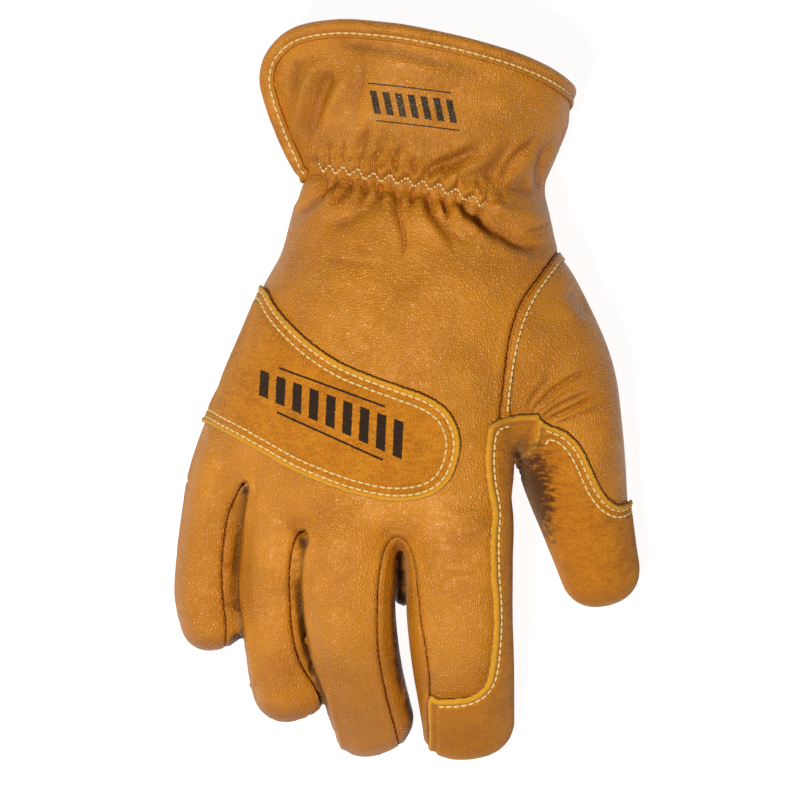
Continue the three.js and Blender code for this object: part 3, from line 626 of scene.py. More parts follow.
def cutHand(keep=0.12):  # cuts the hand along every seam and returns its points, faces and fields
    fields = seamFields(pointsOf(hand))
    values = {name: np.where(np.abs(value) < keep, 0, value).tolist() for name, value in fields.items()}
    mesh = bmesh.new()
    mesh.from_mesh(hand.data)
    mesh.verts.ensure_lookup_table()
    for name, own in values.items():
        crossing = [e for e in mesh.edges if own[e.verts[0].index] * own[e.verts[1].index] < 0]
        if name == "roots":
            crossing = [e for e in crossing if values["side"][e.verts[0].index] < 1]
        for edge in crossing:
            first, second = edge.verts
            a, b = first.index, second.index
            share = own[a] / (own[a] - own[b])
            vert = bmesh.utils.edge_split(edge, first, share)[1]
            vert.index = len(own)
            for value in values.values():
                value.append(value[a] + (value[b] - value[a]) * share)
            own[-1] = 0
        onLine = [v for v in mesh.verts if own[v.index] == 0]
        bmesh.ops.connect_verts(mesh, verts=onLine)
    wide = [f for f in mesh.faces if len(f.verts) > 4]
    bmesh.ops.triangulate(mesh, faces=wide)
    mesh.normal_update()
    points = np.empty((len(mesh.verts), 3))
    normals = np.empty((len(mesh.verts), 3))
    for vert in mesh.verts:
        points[vert.index] = vert.co
        normals[vert.index] = vert.normal
    faces = [[v.index for v in f.verts] for f in mesh.faces]
    mesh.free()
    return points * 1000, normals, faces, {name: np.array(value) for name, value in values.items()}


points, normals, faces, fields = cutHand()
print("cut:", len(points), "points", len(faces), "faces")


quads = np.array([face if len(face) == 4 else [*face, face[-1]] for face in faces])
middles = {name: value[quads].mean(1) for name, value in fields.items()}
middlePoints = points[quads].mean(1)
kept = (middles["rim"] < 0) & (middles["slit"] > 0)


def partOf(mask):  # the faces of a region with their own points, and the points on its border
    chosen = [faces[i] for i in np.flatnonzero(mask)]
    used = np.unique(np.concatenate(chosen))
    place = np.full(len(points), -1)
    place[used] = np.arange(len(used))
    own = [place[face].tolist() for face in chosen]
    sides = np.array([sorted(pair) for face in own for pair in zip(face, face[1:] + face[:1])])
    edges, counts = np.unique(sides, axis=0, return_counts=True)
    part = {"points": points[used].copy(), "normals": normals[used], "faces": own, "edges": edges,
            "border": edges[counts == 1]}
    part["fields"] = {name: value[used] for name, value in fields.items()}
    part["seen"] = seenFrom(part["points"])
    return part


def borderGap(part, skip=()):  # distance from each point to the border, leaving out the lines in skip
    first, second = part["border"].T
    keep = np.ones(len(first), bool)
    for name in skip:
        value = np.abs(part["fields"][name])
        keep &= ~((value[first] < 0.01) & (value[second] < 0.01))
    a, b = part["points"][first[keep]], part["points"][second[keep]]
    spots = np.vstack([a, a * 2 / 3 + b / 3, a / 3 + b * 2 / 3])
    tree = KDTree(len(spots))
    for i, spot in enumerate(spots):
        tree.insert(spot, i)
    tree.balance()
    return np.array([tree.find(p)[2] for p in part["points"]])


def rolled(gap, radius):  # how far an edge of this radius curls down, by distance from the edge
    inside = np.clip(radius - gap, 0, radius)
    return radius - np.sqrt(np.maximum(radius ** 2 - inside ** 2, 0))


def elasticNearness(seen):  # one at the elastic, nothing a few finger widths from it
    gap = gapToLine(seen, elastic["turns"][::2])[0]
    return np.exp(-(gap / elastic["reach"]) ** 2)


def giveObject(name, part, thickness):
    piece = addMesh(name, part["points"], part["faces"])
    values = {"seamGap": part["gap"], "gather": elasticNearness(part["seen"])}
    smooth, even = part["points"], np.ones(len(part["points"]))
    # hollow: how far each point lies below its smoothed surface, where the leather material paints shade
    values["hollow"] = np.zeros(len(even))
    for rounds, share in [(8, 1.0), (60, 0.35)]:
        smooth = relax(smooth, part["edges"], even, rounds)
        values["hollow"] += ((smooth - part["points"]) * normalsOf(piece)).sum(1) * share
    values["shadow"] = shadowOn(part["seen"]) * smoothStep(part["normals"][:, 2], -0.6, 0)
    for key, value in values.items():
        addValues(piece, key, value)
    activate(piece)
    bpy.ops.object.shade_smooth()
    applyModifier(piece, "SOLIDIFY", thickness=thickness / 1000, offset=-1, use_even_offset=False)
    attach(piece, "root")
    print(name, sum(len(face.vertices) - 2 for face in piece.data.polygons), "triangles")
    return piece


# Places that no light reaches, in picture units: darkness at both ends, half width, and the line they follow
shadows = [
    [0.95, 0.95, 2.3, [243.4, 489], [243.2, 494]],
    [0.45, 0.5, 2.6, [243, 494], [241, 520], [238, 545], [237, 575], [237, 602]],
    [0.7, 0.97, 2.8, [237, 602], [239.4, 616], [240.6, 628], [241, 644]],
    [0.97, 0.9, 3.2, [302, 540], [301.6, 547]],
    [0.5, 0.75, 2.6, [301.4, 548], [300, 570], [299.6, 592], [300, 604]],
    [0.9, 0.9, 3.2, [300, 602], [302, 620], [305, 640], [308, 654]],
    [0.85, 0.6, 2.4, [308, 654], [311, 666], [316, 682], [322, 700], [325, 716]],
    [0.25, 0.2, 5, [345, 46], [390, 53], [430, 61], [470, 72]],
]


def shadowOn(seen):
    dark = np.zeros(len(seen))
    for first, last, width, *line in shadows:
        gap, along = gapToLine(seen, smoothLine(line, 4))
        dark = np.maximum(dark, (first + (last - first) * along) * np.exp(-(gap / width) ** 2))
    return dark


# Ridge, tuck and flush: height, place from the line and half width, in millimetres
panels = {
    "roll": 0.75, "puff": 0.28, "puffAt": 1.9, "puffWidth": 1.3, "thickness": 1.6,
    "ridge": [0.8, 1.7, 0.8], "tuck": [-2.6, 0, 1.5], "flush": [1.2, 0, 2.2],
    "flushLine": [[428, 702], [428.5, 730], [430, 750], [436, 768]],
}


def makePanel(name, mask, ridges=(), tucks=()):
    part = partOf(mask)
    gap = borderGap(part, skip=["rim", "slit"])
    part["gap"] = gap
    lift = panels["puff"] * np.exp(-((gap - panels["puffAt"]) / panels["puffWidth"]) ** 2)
    lift -= rolled(gap, panels["roll"])
    raised = [(seams[strip][1], panels["ridge"]) for strip in ridges]
    raised += [(seams[strip][1], panels["tuck"]) for strip in tucks]
    if name == "indexMiddleStrip":
        raised.append((panels["flushLine"], panels["flush"]))
    for line, (high, place, width) in raised:
        away = gapToLine(part["seen"], smoothLine(line, 4))[0] * viewpoint["unit"]
        facing = smoothStep(part["normals"][:, 2], -0.2, 0.3)
        lift += high * np.exp(-((away - place) / width) ** 2) * facing
    part["points"] = part["points"] + part["normals"] * lift[:, None]
    return giveObject(name, part, panels["thickness"])


stripNames = {"ringLittle": "fourchette_ring_little", "middleRing": "fourchette_middle_ring",
              "indexMiddle": "fourchette_index_middle"}
left = kept.copy()
pieces = {}
inside = left & (middles["thumb"] < 0)
pieces["thumbPanel"] = makePanel("thumbPanel", inside)
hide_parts("thumb_panel")
left &= ~inside
for strip, node in stripNames.items():
    inside = left & (middles[strip] < 0)
    tucks = [strip] if strip != "indexMiddle" else []
    pieces[strip] = makePanel(strip + "Strip", inside, tucks=tucks)
    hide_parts(node)
    left &= ~inside
back = left & (middles["side"] > 0)
pieces["back"] = makePanel("backPanel", back, ridges=["ringLittle", "middleRing"])
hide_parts("back_panel")
left &= ~back
fronts = left & (middles["roots"] < 0)
pieces["palm"] = makePanel("palmPanel", left & ~fronts)
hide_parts("palm_panel")
frontNames = {"little_front": [-200, -56], "ring_front": [-56, -34],
              "middle_front": [-34, -2.4], "index_front": [-2.4, 200]}
for node, (low, high) in frontNames.items():
    inside = fronts & (middlePoints[:, 0] > low) & (middlePoints[:, 0] <= high)
    pieces[node] = makePanel(node.replace("_f", "F"), inside)
    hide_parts(node)

# Overlays and welt. Rows of stitches: distance from the edge, pitch, and how far the thread sinks in
layers = {
    "groove": 0.45, "grooveWidth": 0.7, "puff": 0.4, "puffWidth": 0.9,
    "patch": {"node": "knuckle_patch", "lift": 0.1, "thickness": 1.2, "roll": 0.5,
              "rows": [[2.0, 2.5, 0.12], [4.4, 2.5, 0]]},
    "index": {"node": "index_overlay", "lift": 0.2, "thickness": 1.3, "roll": 1.1, "rows": [[3.1, 2.5, 0]]},
    "thumb": {"node": "thumb_overlay", "lift": 0.1, "thickness": 1.3, "roll": 0.6,
              "rows": [[2.1, 2.7, 0.2], [4.1, 2.6, 0]]},
    "welt": {"node": "thumb_welt", "lift": 0, "thickness": 0.8, "roll": 0.5, "rows": []},
}
for key in ["patch", "index", "thumb", "welt"]:
    look = layers[key]
    mask = kept & (middles[key + "Overlay"] < 0)
    if key in ("patch", "welt"):
        mask &= middles["side"] > 0
    part = partOf(mask)
    part["gap"] = borderGap(part, skip=["rim", "slit"])
    part["rowGap"] = borderGap(part, skip=["rim", "slit", "side"]) if key == "patch" else part["gap"]
    lift = look["lift"] + look["thickness"] - rolled(part["gap"], look["roll"])
    rowPlaces = [row[0] for row in look["rows"]]
    for place in rowPlaces:
        lift -= layers["groove"] * np.exp(-((part["rowGap"] - place) / layers["grooveWidth"]) ** 2)
    if rowPlaces:
        away = part["rowGap"] - rowPlaces[0] / 2
        lift += layers["puff"] * np.exp(-(away / layers["puffWidth"]) ** 2)
    part["points"] = part["points"] + part["normals"] * lift[:, None]
    if key == "welt":  # a narrow strip, so its edge tones stay nearer to the edge
        part["gap"] = part["gap"] * 3
    pieces[key] = giveObject(look["node"].replace("_", "") + "Layer", part, look["thickness"])
    look["part"] = part
    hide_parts(look["node"])
bpy.data.objects.remove(hand)

# The strip folded round the rim. Its profile: distance in from the edge, and height over the outer face
binding = {
    "profile": [[4.3, -0.2], [4.45, 0.7], [4.15, 1.2], [3.7, 1.25], [3.2, 1.0], [2.8, 0.75], [2.4, 1.0],
                [1.8, 1.45], [0.9, 1.8], [0, 1.8], [-0.8, 1.35], [-1.4, 0.7], [-1.7, -0.1], [-1.75, -0.9],
                [-1.4, -1.9], [-0.6, -2.6], [0.6, -2.95], [2.4, -3.05], [4, -2.95], [4.5, -2.5], [4.4, -1.5],
                [0.3, -1.5], [0.3, -0.2]],
    "spacing": 1.2, "smooth": 3, "wobble": 0.12, "wobbleSteps": 4, "from": 73, "rowIn": 2.8, "rowUp": 0.75,
    "fadeFrom": 4.3,
}


def chain(edges):  # orders edges into lines of points
    follow = {}
    for a, b in edges.tolist():
        follow.setdefault(a, []).append(b)
        follow.setdefault(b, []).append(a)
    lines = []
    seenPoints = set()
    starts = [p for p, ends in follow.items() if len(ends) != 2] + list(follow)
    for start in starts:
        if start in seenPoints:
            continue
        line = [start]
        seenPoints.add(start)
        while True:
            ways = [p for p in follow[line[-1]] if p not in seenPoints]
            if not ways:
                break
            line.append(ways[0])
            seenPoints.add(ways[0])
        if start in follow[line[-1]] and len(line) > 2:
            line.append(start)
        lines.append(line)
    return sorted(lines, key=len, reverse=True)


def resample(line, spacing):  # points at even spacing, with whatever else the line's rows hold
    lengths = np.linalg.norm(np.diff(line[:, :3], axis=0), axis=1)
    along = np.concatenate([[0], np.cumsum(lengths)])
    count = max(int(round(along[-1] / spacing)), 2)
    places = np.linspace(0, along[-1], count + 1)
    return np.stack([np.interp(places, along, column) for column in line.T], 1)


def smoothed(line, rounds):
    for _ in range(rounds):
        line[1:-1] = (line[:-2] + 2 * line[1:-1] + line[2:]) / 4
    return line


def makeBinding():
    part = partOf(kept)
    value = np.minimum(np.abs(part["fields"]["rim"]), np.abs(part["fields"]["slit"]))
    border = part["border"]
    border = border[(value[border] < 0.05).all(1)]
    order = chain(border)[0][:-1]
    apex = int(np.argmin(part["points"][order][:, 1]))
    order = order[apex:] + order[:apex]
    line = np.hstack([part["points"][order], part["normals"][order]])
    line = smoothed(resample(line, binding["spacing"]), binding["smooth"])
    line = line[line[:, 1] > binding["from"]]
    spots, outs = line[:, :3], line[:, 3:]
    tangents = np.gradient(spots, axis=0)
    tangents /= np.linalg.norm(tangents, axis=1)[:, None]
    ins = np.cross(outs, tangents)
    ins /= np.linalg.norm(ins, axis=1)[:, None]
    outs = np.cross(tangents, ins)
    outs /= np.linalg.norm(outs, axis=1)[:, None]
    middle = part["points"].mean(0)
    if (ins * (middle - spots)).sum() < 0:
        ins = -ins
    if (outs * line[:, 3:]).sum() < 0:
        outs = -outs
    random = np.random.default_rng(3)
    count = len(spots)
    knots = np.arange(0, count + binding["wobbleSteps"], binding["wobbleSteps"])
    wobble = np.interp(np.arange(count), knots, random.normal(0, 1, len(knots)))
    profile = np.array(binding["profile"])
    grown = 1 + binding["wobble"] * wobble[:, None] * 0.5
    raised = profile[None, :, 1:] * grown[:, :, None]
    rings = spots[:, None] + ins[:, None] * profile[None, :, :1] + outs[:, None] * raised
    size = len(profile)
    ringFaces = []
    for i in range(count - 1):
        for j in range(size):
            k = (j + 1) % size
            ringFaces.append([i * size + j, i * size + k, (i + 1) * size + k, (i + 1) * size + j])
    ringFaces.append(list(range(size))[::-1])
    ringFaces.append([(count - 1) * size + j for j in range(size)])
    piece = addMesh("cuffBinding", rings.reshape(-1, 3), ringFaces)
    fromEdge = np.hypot(binding["fadeFrom"] - profile[:, 0], profile[:, 1]) + 0.15
    addValues(piece, "seamGap", np.tile(np.clip(fromEdge, 0, 5), count))
    activate(piece)
    turnOutwards()
    bpy.ops.object.shade_smooth()
    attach(piece, "root")
    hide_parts("cuff_binding")
    return piece, spots, ins, outs


pieces["binding"], rimSpots, rimIns, rimOuts = makeBinding()
print("binding made")


# Stitches. The profile of one: places from end to end, and how wide the thread is there
thread = {
    "profile": [[-1, 0.5], [-0.85, 0.85], [-0.35, 1], [0.35, 1], [0.85, 0.85], [1, 0.5]],
    "noRow": [[[400, 707], [442, 800]], [[511, 380], [545, 520]]],  # corners of boxes in picture units
    "radius": 0.37, "arch": 0.28, "sides": 6, "filled": 0.84, "lift": 0.1, "shortest": 12,
    "bindingPitch": 2.6, "weltPitch": 2.3, "weltSunk": 0.1,
    "zigzagSteps": 3, "zigzagFilled": 0.72, "zigzagSunk": -0.1, "zigzagUp": 0.6,
    "weltRow": [[563, 257.4], [548.4, 277], [535.6, 295.6], [524.2, 319.8], [517.8, 342], [513.4, 364],
                [510.2, 386], [507.4, 412]],
}


def makeStitch():  # a short arched piece of thread, modelled once
    angles = np.arange(thread["sides"]) / thread["sides"] * 2 * np.pi
    rings = []
    for along, wide in thread["profile"]:
        across = thread["radius"] * wide * np.cos(angles)
        above = thread["radius"] * wide * np.sin(angles)
        rise = thread["arch"] * (1 - along ** 2) - thread["arch"] / 2
        rings.append(np.stack([np.full(len(angles), along), across, above + rise], 1))
    return sweepRings("stitch", rings)


def sew(name, rows):  # copies of the stitch from each row's points to the next ones
    stitch = makeStitch()
    form = pointsOf(stitch)
    formFaces = [list(face.vertices) for face in stitch.data.polygons]
    bpy.data.objects.remove(stitch)
    places, sewnFaces = [], []
    for spots, normals, filled, sunk in rows:
        for a, b, normal in zip(spots[:-1], spots[1:], normals[:-1] + normals[1:]):
            ahead = b - a
            length = np.linalg.norm(ahead)
            ahead = ahead / length
            side = np.cross(normal, ahead)
            side /= np.linalg.norm(side)
            up = np.cross(ahead, side)
            centre = (a + b) / 2 + up * (thread["lift"] - sunk)
            forwards = form[:, :1] * ahead * length / 2 * filled
            sewnFaces += [[v + len(places) * len(form) for v in face] for face in formFaces]
            places.append(centre + forwards + form[:, 1:2] * side + form[:, 2:] * up)
    piece = addMesh(name, np.vstack(places), sewnFaces)
    activate(piece)
    bpy.ops.object.shade_smooth()
    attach(piece, "root")
    print(name, len(places), "stitches")
    return piece


def rowLines(part, level):  # where a row at this distance from the edge runs, with the normals there
    gap = part["rowGap"].tolist()
    names, crossings, links = {}, [], []
    for face in part["faces"]:
        ends = []
        for a, b in zip(face, face[1:] + face[:1]):
            if (gap[a] - level) * (gap[b] - level) < 0:
                key = (min(a, b), max(a, b))
                if key not in names:
                    names[key] = len(crossings)
                    crossings.append([a, b, (level - gap[a]) / (gap[b] - gap[a])])
                ends.append(names[key])
        if len(ends) == 2:
            links.append(ends)
    crossings = np.array(crossings)
    a, b, share = crossings[:, 0].astype(int), crossings[:, 1].astype(int), crossings[:, 2:]
    both = np.hstack([part["points"], part["normals"]])
    spots = both[a] + (both[b] - both[a]) * share
    runs = []
    for line in chain(np.array(links)):
        seen = seenFrom(spots[line][:, :3])
        sewn = np.ones(len(line), bool)
        for low, high in thread["noRow"]:
            sewn &= ~((seen > low) & (seen < high)).all(1)
        ends = np.flatnonzero(np.diff(np.concatenate([[0], sewn.astype(int), [0]])))
        longer = [(a, b) for a, b in zip(ends[::2], ends[1::2]) if b - a > thread["shortest"]]
        runs += [spots[line[a:b]] for a, b in longer]
    return runs


def evenRow(line, pitch, filled, sunk):  # a row of even stitches along a line of points and normals
    line = resample(smoothed(resample(line, 0.8), 4), pitch)
    return line[:, :3], line[:, 3:], filled, sunk


def onto(piece, places):  # the points of a piece that the camera sees at these places, and normals
    vertices = [v.co.copy() for v in piece.data.vertices]
    tree = BVHTree.FromPolygons(vertices, [list(p.vertices) for p in piece.data.polygons])
    eye = Vector((viewpoint["x"], viewpoint["y"], viewpoint["height"])) / 1000
    spots, normals = [], []
    for across, down in places:
        onLevel = [viewpoint["x"] + (across - viewpoint["middle"]) * viewpoint["unit"],
                   viewpoint["y"] - (down - viewpoint["middle"]) * viewpoint["unit"], viewpoint["level"]]
        spot, normal = tree.ray_cast(eye, Vector(onLevel) / 1000 - eye)[:2]
        if spot is not None:
            spots.append(np.array(spot) * 1000)
            normals.append(np.array(normal))
    return np.array(spots), np.array(normals)


def sewRows():
    sewn = {}
    for key in ["patch", "index", "thumb"]:
        part = layers[key]["part"]
        rows = []
        for place, pitch, sunk in layers[key]["rows"]:
            rows += [evenRow(line, pitch, thread["filled"], sunk) for line in rowLines(part, place)]
        sewn[key] = sew(key + "Stitches", rows)
    groove = np.hstack([rimSpots + rimIns * binding["rowIn"] + rimOuts * binding["rowUp"], rimOuts])
    sewn["binding"] = sew("bindingStitches", [evenRow(groove, thread["bindingPitch"], thread["filled"], 0)])
    line = np.hstack(onto(pieces["welt"], smoothLine(thread["weltRow"], 4)))
    row = evenRow(line, thread["weltPitch"], thread["filled"], thread["weltSunk"])
    sewn["welt"] = sew("weltStitches", [row])
    turns = np.array(elastic["turns"])
    steps = np.arange((len(turns) - 1) * thread["zigzagSteps"] + 1) / thread["zigzagSteps"]
    path = np.stack([np.interp(steps, np.arange(len(turns)), turns[:, k]) for k in (0, 1)], 1)
    spots, normals = onto(pieces["back"], path)
    ups = normals * (1 - thread["zigzagUp"]) + [0, 0, thread["zigzagUp"]]
    sewn["zigzag"] = sew("zigzagStitches", [(spots, ups, thread["zigzagFilled"], thread["zigzagSunk"])])
    return sewn


stitches = sewRows()


def addNode(tree, kind, inputs=None, **settings):
    node = tree.nodes.new(kind)
    for name, value in settings.items():
        setattr(node, name, value)
    for name, value in (inputs or {}).items():
        if isinstance(value, bpy.types.NodeSocket):
            tree.links.new(value, node.inputs[name])
        else:
            node.inputs[name].default_value = value
    return node


def calc(tree, operation, *values):  # one step of arithmetic between sockets and numbers
    return addNode(tree, "ShaderNodeMath", dict(enumerate(values)), operation=operation).outputs[0]


def vectorCalc(tree, operation, *values):
    return addNode(tree, "ShaderNodeVectorMath", dict(enumerate(values)), operation=operation).outputs


def normalAxes(tree):  # how far the surface faces along x, y and z
    normal = addNode(tree, "ShaderNodeNewGeometry").outputs["Normal"]
    return addNode(tree, "ShaderNodeSeparateXYZ", {0: normal}).outputs


def spread(tree, value, low, high, toLow=0.0, toHigh=1.0):  # a value eased from one range to another
    inputs = {"Value": value, "From Min": low, "From Max": high, "To Min": toLow, "To Max": toHigh}
    return addNode(tree, "ShaderNodeMapRange", inputs, interpolation_type="SMOOTHSTEP").outputs["Result"]


def under(tree, value, limit, soft=0.1):  # one below the limit, nothing above it
    return spread(tree, value, limit - soft, limit + soft, 1.0, 0.0)


def blendColours(tree, share, first, second):
    node = addNode(tree, "ShaderNodeMix", data_type="RGBA", blend_type="MIX")
    for socket, value in zip([node.inputs[0], node.inputs[6], node.inputs[7]], [share, first, second]):
        if isinstance(value, bpy.types.NodeSocket):
            tree.links.new(value, socket)
        else:
            socket.default_value = value if socket.type == "VALUE" else (*value, 1)
    return node.outputs[2]


def noise(tree, coords, scale, detail=2.0, rough=0.5):
    inputs = {"Vector": coords, "Scale": scale, "Detail": detail, "Roughness": rough}
    return addNode(tree, "ShaderNodeTexNoise", inputs).outputs["Fac"]


def stretched(tree, coords, scale, turn=0.0):
    inputs = {"Vector": coords, "Scale": scale, "Rotation": (0, 0, turn)}
    return addNode(tree, "ShaderNodeMapping", inputs).outputs[0]


def cells(tree, coords, scale, edge):  # rounded pebbles: nothing between them, one on top
    inputs = {"Vector": coords, "Scale": scale, "Randomness": 0.8}
    node = addNode(tree, "ShaderNodeTexVoronoi", inputs, feature="DISTANCE_TO_EDGE")
    return spread(tree, node.outputs["Distance"], 0.0, edge)


def attribute(tree, name):
    return addNode(tree, "ShaderNodeAttribute", attribute_name=name).outputs["Fac"]


def startMaterial(name):  # a shader with coordinates in millimetres
    material = bpy.data.materials.new(name)
    material.use_nodes = True
    tree = material.node_tree
    place = addNode(tree, "ShaderNodeTexCoord").outputs["Object"]
    coords = stretched(tree, place, (1000, 1000, 1000))
    return material, tree, tree.nodes["Principled BSDF"], coords


def finishMaterial(tree, shader, colour, rough, height, depth):
    bump = addNode(tree, "ShaderNodeBump", {"Height": height, "Strength": 1.0, "Distance": depth / 1000})
    tree.links.new(bump.outputs[0], shader.inputs["Normal"])
    tree.links.new(colour, shader.inputs["Base Color"])
    tree.links.new(rough, shader.inputs["Roughness"])


# Plain slanted bars between two lines, in black ink: centre, turn, and sizes in millimetres
marks = {
    "patch": {"centre": (-25.5, -4.6), "turn": -22, "half": 27, "slant": 0.35, "pitch": 6.0, "bar": 3.3,
              "high": 4.9, "grow": 0.035, "line": 7.6, "lineWide": 0.7, "lineHalf": 19},
    "cuff": {"centre": (1.8, 95.6), "turn": -7, "half": 14.7, "slant": 0.35, "pitch": 4.2, "bar": 2.3,
             "high": 3.6, "grow": 0, "line": 5.8, "lineWide": 0.45, "lineHalf": 13.8},
}


def inkMask(tree, coords, mark, nap):  # one where the ink is
    x, y = mark["centre"]
    shifted = vectorCalc(tree, "ADD", coords, (-x, -y, 0))[0]
    turned = stretched(tree, shifted, (1, 1, 1), math.radians(-mark["turn"]))
    axes = addNode(tree, "ShaderNodeSeparateXYZ", {0: turned}).outputs
    frayed = calc(tree, "MULTIPLY", calc(tree, "SUBTRACT", noise(tree, coords, 1.6), 0.5), nap)
    across, along = calc(tree, "ADD", axes[1], frayed), calc(tree, "ADD", axes[0], frayed)
    high = calc(tree, "ABSOLUTE", across)
    wave = calc(tree, "ADD", along, calc(tree, "MULTIPLY", across, mark["slant"]))
    far = calc(tree, "ABSOLUTE", wave)
    share = calc(tree, "FRACT", calc(tree, "ADD", calc(tree, "DIVIDE", wave, mark["pitch"]), 50.5))
    fromBar = calc(tree, "ABSOLUTE", calc(tree, "SUBTRACT", share, 0.5))
    fromBar = calc(tree, "MULTIPLY", fromBar, mark["pitch"])
    bars = under(tree, fromBar, mark["bar"] / 2)
    taller = calc(tree, "SUBTRACT", high, calc(tree, "MULTIPLY", along, mark["grow"]))
    for value, limit in [(taller, mark["high"]), (far, mark["half"])]:
        bars = calc(tree, "MULTIPLY", bars, under(tree, value, limit))
    fromLine = calc(tree, "ABSOLUTE", calc(tree, "SUBTRACT", taller, mark["line"]))
    lines = under(tree, fromLine, mark["lineWide"] / 2, 0.08)
    lines = calc(tree, "MULTIPLY", lines, under(tree, far, mark["lineHalf"]))
    return calc(tree, "MAXIMUM", bars, lines)


# Each fade: the values that it runs between, and the shares at both ends
grainLook = {
    "light": (0.63, 0.232, 0.011), "deep": (0.57, 0.198, 0.008), "crease": (0.30, 0.078, 0.005),
    "tips": (0.33, 0.105, 0.006), "seam": (0.20, 0.036, 0.004), "dark": (0.03, 0.012, 0.006),
    "pebble": 1.0, "finePebble": 2.3, "relief": 0.23, "rough": 0.31, "pitShare": 0.4,
    "warp": (3.2, 3.2, 3.2), "tint": (1.0, 0.88, 0.64, 1),
    "tipsFade": (-0.78, -0.12, 0.75, 0.0), "shineFade": (0.0, 0.55, 0.08, 0.54),
    "hollowFade": (0.03, 0.5, 0.0, 0.5), "edgeFade": (0.3, 2.4, 0.25, 0.0),
    "seamFade": (0.05, 0.5, 0.85, 0.0), "ink": (0.012, 0.009, 0.007), "inkShare": 0.95, "inkNap": 0.12,
}


def shadeOver(tree, colour, coords, shade, brushed, dark, frayed=1.6):  # paints shade over one place
    centre, size, strength, *turned = shade
    away = vectorCalc(tree, "ADD", coords, [-c for c in centre])[0]
    away = stretched(tree, away, [1 / c for c in size])
    away = vectorCalc(tree, "LENGTH", away)["Value"]
    away = calc(tree, "MULTIPLY_ADD", calc(tree, "SUBTRACT", brushed, 0.5), frayed, away)
    share = spread(tree, away, 0.5, 1.2, strength, 0.0)
    if turned:
        axes = normalAxes(tree)
        share = calc(tree, "MULTIPLY", share, under(tree, axes[2], turned[0], 0.15))
        share = calc(tree, "MULTIPLY", share, spread(tree, axes[0], 0.0, 0.3))
    return blendColours(tree, share, colour, dark)


def makeGrain(name, mark=None, shades=()):
    material, tree, shader, coords = startMaterial(name)
    look = grainLook
    shader.inputs["Specular Tint"].default_value = look["tint"]
    inputs = {"Vector": coords, "Scale": 0.16, "Detail": 2.0}
    drift = addNode(tree, "ShaderNodeTexNoise", inputs).outputs["Color"]
    warped = vectorCalc(tree, "MULTIPLY_ADD", drift, look["warp"], coords)[0]
    near = attribute(tree, "gather")
    pebbles = cells(tree, warped, look["pebble"], 0.36)
    longPebbles = cells(tree, stretched(tree, warped, (1.4, 0.6, 1)), 1.0, 0.36)
    isLong = spread(tree, near, 0.25, 0.75)
    pebbles = addNode(tree, "ShaderNodeMix", {0: isLong, 2: pebbles, 3: longPebbles}).outputs[0]
    fine = cells(tree, warped, look["finePebble"], 0.2)
    strength = spread(tree, noise(tree, coords, 0.05, 3.0), 0.32, 0.68, 0.6, 1.0)
    strength = calc(tree, "ADD", strength, calc(tree, "MULTIPLY", near, 0.2))
    height = calc(tree, "MULTIPLY", pebbles, strength)
    height = calc(tree, "MULTIPLY_ADD", fine, 0.1, height)
    height = calc(tree, "MULTIPLY_ADD", noise(tree, coords, 0.35, 2.0), 0.35, height)
    pits = calc(tree, "MULTIPLY", calc(tree, "SUBTRACT", 1.0, pebbles), strength)
    tone = spread(tree, noise(tree, coords, 0.035, 4.0, 0.6), 0.3, 0.7)
    colour = blendColours(tree, tone, look["deep"], look["light"])
    axes = normalAxes(tree)
    # Painted shade: surfaces turning towards the fingertips take a darker tone
    colour = blendColours(tree, spread(tree, axes[1], *look["tipsFade"]), colour, look["tips"])
    tree.links.new(spread(tree, axes[2], *look["shineFade"]), shader.inputs["Specular IOR Level"])
    inPits = calc(tree, "MULTIPLY", spread(tree, pits, 0.45, 1.0), look["pitShare"])
    colour = blendColours(tree, inPits, colour, look["crease"])
    # Painted shade: hollows take the crease colour
    hollow = spread(tree, attribute(tree, "hollow"), *look["hollowFade"])
    colour = blendColours(tree, hollow, colour, look["crease"])
    gap = attribute(tree, "seamGap")
    colour = blendColours(tree, spread(tree, gap, *look["edgeFade"]), colour, look["crease"])
    colour = blendColours(tree, spread(tree, gap, *look["seamFade"]), colour, look["seam"])
    for shade in shades:
        colour = shadeOver(tree, colour, coords, shade, noise(tree, coords, 0.3), look["dark"], 0.9)
    colour = blendColours(tree, attribute(tree, "shadow"), colour, look["dark"])
    rough = spread(tree, tone, 0.0, 1.0, look["rough"] + 0.05, look["rough"])
    rough = calc(tree, "MULTIPLY_ADD", pits, 0.16, rough)
    if mark:
        ink = calc(tree, "MULTIPLY", inkMask(tree, coords, mark, look["inkNap"]), look["inkShare"])
        colour = blendColours(tree, ink, colour, look["ink"])
    finishMaterial(tree, shader, colour, rough, height, look["relief"])
    return material


suedeLook = {
    "light": (0.68, 0.25, 0.015), "deep": (0.32, 0.09, 0.005), "edge": (0.84, 0.42, 0.03),
    "shade": (0.085, 0.026, 0.006), "tips": (0.33, 0.105, 0.006), "relief": 0.35,
    "shine": 0.15, "sheen": 0.25, "sheenRough": 0.45, "sheenTint": (1.0, 0.72, 0.38, 1),
    "tipsFade": (-0.85, -0.1, 0.7, 0.0), "edgeFade": (0.8, 2.4, 0.55, 0.0),
    "seamFade": (0.05, 0.4, 0.6, 0.0), "ink": (0.014, 0.011, 0.009), "inkFade": (0.3, 0.5, 0.82, 0.98),
    "inkNap": 0.5,
}


